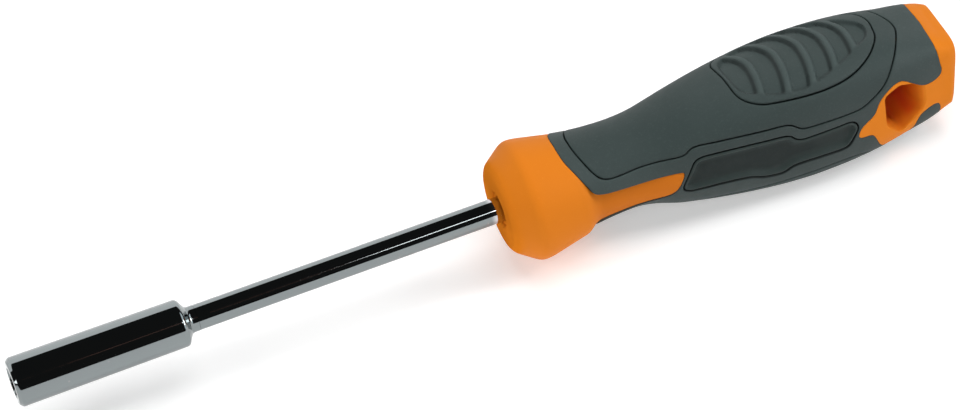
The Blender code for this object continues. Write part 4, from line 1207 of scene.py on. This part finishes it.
def reflect_card(name, corners, strength, colour=(1.0, 1.0, 1.0), faces=((0, 1, 2, 3),)):
    """A plain lit panel that only polished metal sees."""
    me = bpy.data.meshes.new(name)
    me.from_pydata(corners, [], list(faces))
    ob = bpy.data.objects.new(name, me)
    bpy.context.collection.objects.link(ob)
    n = Nodes(name)
    n.b.inputs["Base Color"].default_value = (0, 0, 0, 1)
    n.b.inputs["Specular IOR Level"].default_value = 0.0
    n.b.inputs["Emission Color"].default_value = (*colour, 1.0)
    n.b.inputs["Emission Strength"].default_value = strength
    me.materials.append(n.m)
    ob.visible_camera = False
    ob.visible_diffuse = False
    ob.visible_shadow = False
    return ob


def ring_card(name, x, r0, r1, a0, a1, strength, colour=(1.0, 1.0, 1.0)):
    """A lit band bent round the tool axis, which turned shoulders show as a line."""
    verts = [(x, -r * math.sin(a), AXIS_HEIGHT * MM + r * math.cos(a))
             for a in np.radians(np.linspace(a0, a1, 9)) for r in (r0, r1)]
    faces = [(2 * i, 2 * i + 1, 2 * i + 3, 2 * i + 2) for i in range(8)]
    return reflect_card(name, verts, strength, colour, faces)


def build_studio():
    me = bpy.data.meshes.new("floor")
    s = 6.0
    me.from_pydata([(-s, -s, 0), (s, -s, 0), (s, s, 0), (-s, s, 0)], [], [(0, 1, 2, 3)])
    floor = bpy.data.objects.new("floor", me)
    bpy.context.collection.objects.link(floor)
    n = Nodes("pale_floor")
    n.link(n.ramp(n.noise(3.0, 3.0), [(0.3, (0.775, 0.775, 0.775)), (0.7, (0.79, 0.79, 0.79))]),
           n.b.inputs["Base Color"])
    n.b.inputs["Roughness"].default_value = 0.7
    n.b.inputs["Emission Color"].default_value = (1.0, 1.0, 1.0, 1.0)
    n.b.inputs["Emission Strength"].default_value = 0.40
    n.b.inputs["Specular IOR Level"].default_value = 0.1
    me.materials.append(n.m)

    world = bpy.data.worlds.new("studio")
    bpy.context.scene.world = world
    world.use_nodes = True
    bg = world.node_tree.nodes["Background"]
    bg.inputs["Color"].default_value = (1.0, 1.0, 1.0, 1.0)
    bg.inputs["Strength"].default_value = 0.020
    reflect_card("backdrop", [(-3.0, 1.3, 0.01), (3.0, 1.3, 0.01), (3.0, 1.3, 1.40), (-3.0, 1.3, 1.40)], 1.38)

    ring_card("side_window", 0.78, 0.44, 0.80, 34.0, 66.0, 11.0)
    reflect_card("warm_strip", [(0.02, -0.888, 0.823), (0.19, -0.888, 0.823),
                                (0.19, -0.874, 0.837), (0.02, -0.874, 0.837)], 0.45, (1.0, 0.46, 0.36))
    ring_card("pale_wall", 0.80, 0.42, 1.40, -10.0, 88.0, 1.6, (0.88, 0.96, 1.0))
    reflect_card("left_window", [(-1.05, -0.30, 0.10), (-1.05, -0.10, 0.10),
                                 (-1.05, -0.10, 0.30), (-1.05, -0.30, 0.30)], 4.0)

    mid = (0.03, 0.0, 0.016)
    area_light("glint", (0.27, -0.877, 0.838), mid, 0.22, 0.09, 0.36, True)
    area_light("top_soft", (0.22, 0.05, 1.20), mid, 1.1, 1.0, 11.5, False)
    area_light("front_soft", (-0.60, -0.90, 0.80), mid, 0.9, 0.7, 4.7, False)
    area_light("key_right", (0.85, -0.30, 0.70), mid, 0.35, 0.3, 3.4, False)
    area_light("left_soft", (-0.95, 0.05, 0.85), mid, 0.6, 0.5, 3.0, False)
    view = bpy.context.scene.view_settings
    view.view_transform = "Standard"
    view.look = "None"
    view.exposure = 0.0
    view.gamma = 1.0


def main():
    plating = chrome("sleeve_chrome")
    blade = chrome("blade_chrome", bright_from=114.9)
    spring = steel("spring_wire", (0.45, 0.46, 0.48), 0.30)
    nickel = steel("nickel_magnet", (0.58, 0.57, 0.54), 0.25)
    orange = hard_orange("orange_moulding")
    grip = soft_grip("grip_soft", (0.041, 0.057, 0.055), (0.049, 0.066, 0.064), 0.60, seam_shaded=True)
    palm = soft_grip("palm_soft", (0.0345, 0.0495, 0.0475), (0.0415, 0.0575, 0.0555), 0.62)
    pad = soft_grip("thumb_soft", (0.0365, 0.0515, 0.0495), (0.0435, 0.0595, 0.0575), 0.60, rib_shaded=True)
    # the side panels' darker colours are painted shade of their recessed dish; the rim colour is nearer the
    # grip's own tone
    side = soft_grip("side_soft_painted_shade", (0.0112, 0.0185, 0.0175), (0.0148, 0.0232, 0.0222), 0.62, seam_shaded=True,
                     rim=(0.034, 0.049, 0.046))

    sleeve = build_sleeve(plating)
    ring = build_ring(spring)
    magnet = build_magnet(nickel)
    shaft = build_shaft(blade)
    core = build_core(orange)
    grip_ob = build_grip(grip)
    panels = build_panels(palm, pad, side)
    rows = [(sleeve, "bit_holder_sleeve", "chrome", "tool"),
            (ring, "bit_retaining_ring", "spring_steel", "retaining_ring"),
            (magnet, "socket_magnet", "magnet", "tool"),
            (shaft, "blade_shaft", "blade_chrome", "tool"),
            (core, "handle_core", "orange_plastic", "tool"),
            (grip_ob, "grip_frame", "grip_frame", "tool")]
    for name, ob in panels.items():
        slot = ("palm_pad" if "palm" in name else "thumb_pad" if "thumb" in name else "side_pad")
        rows.append((ob, name, slot, "tool"))
    for ob, node, slot, body in rows:
        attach(ob, body)
        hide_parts(node)
    build_camera()
    build_studio()


main()
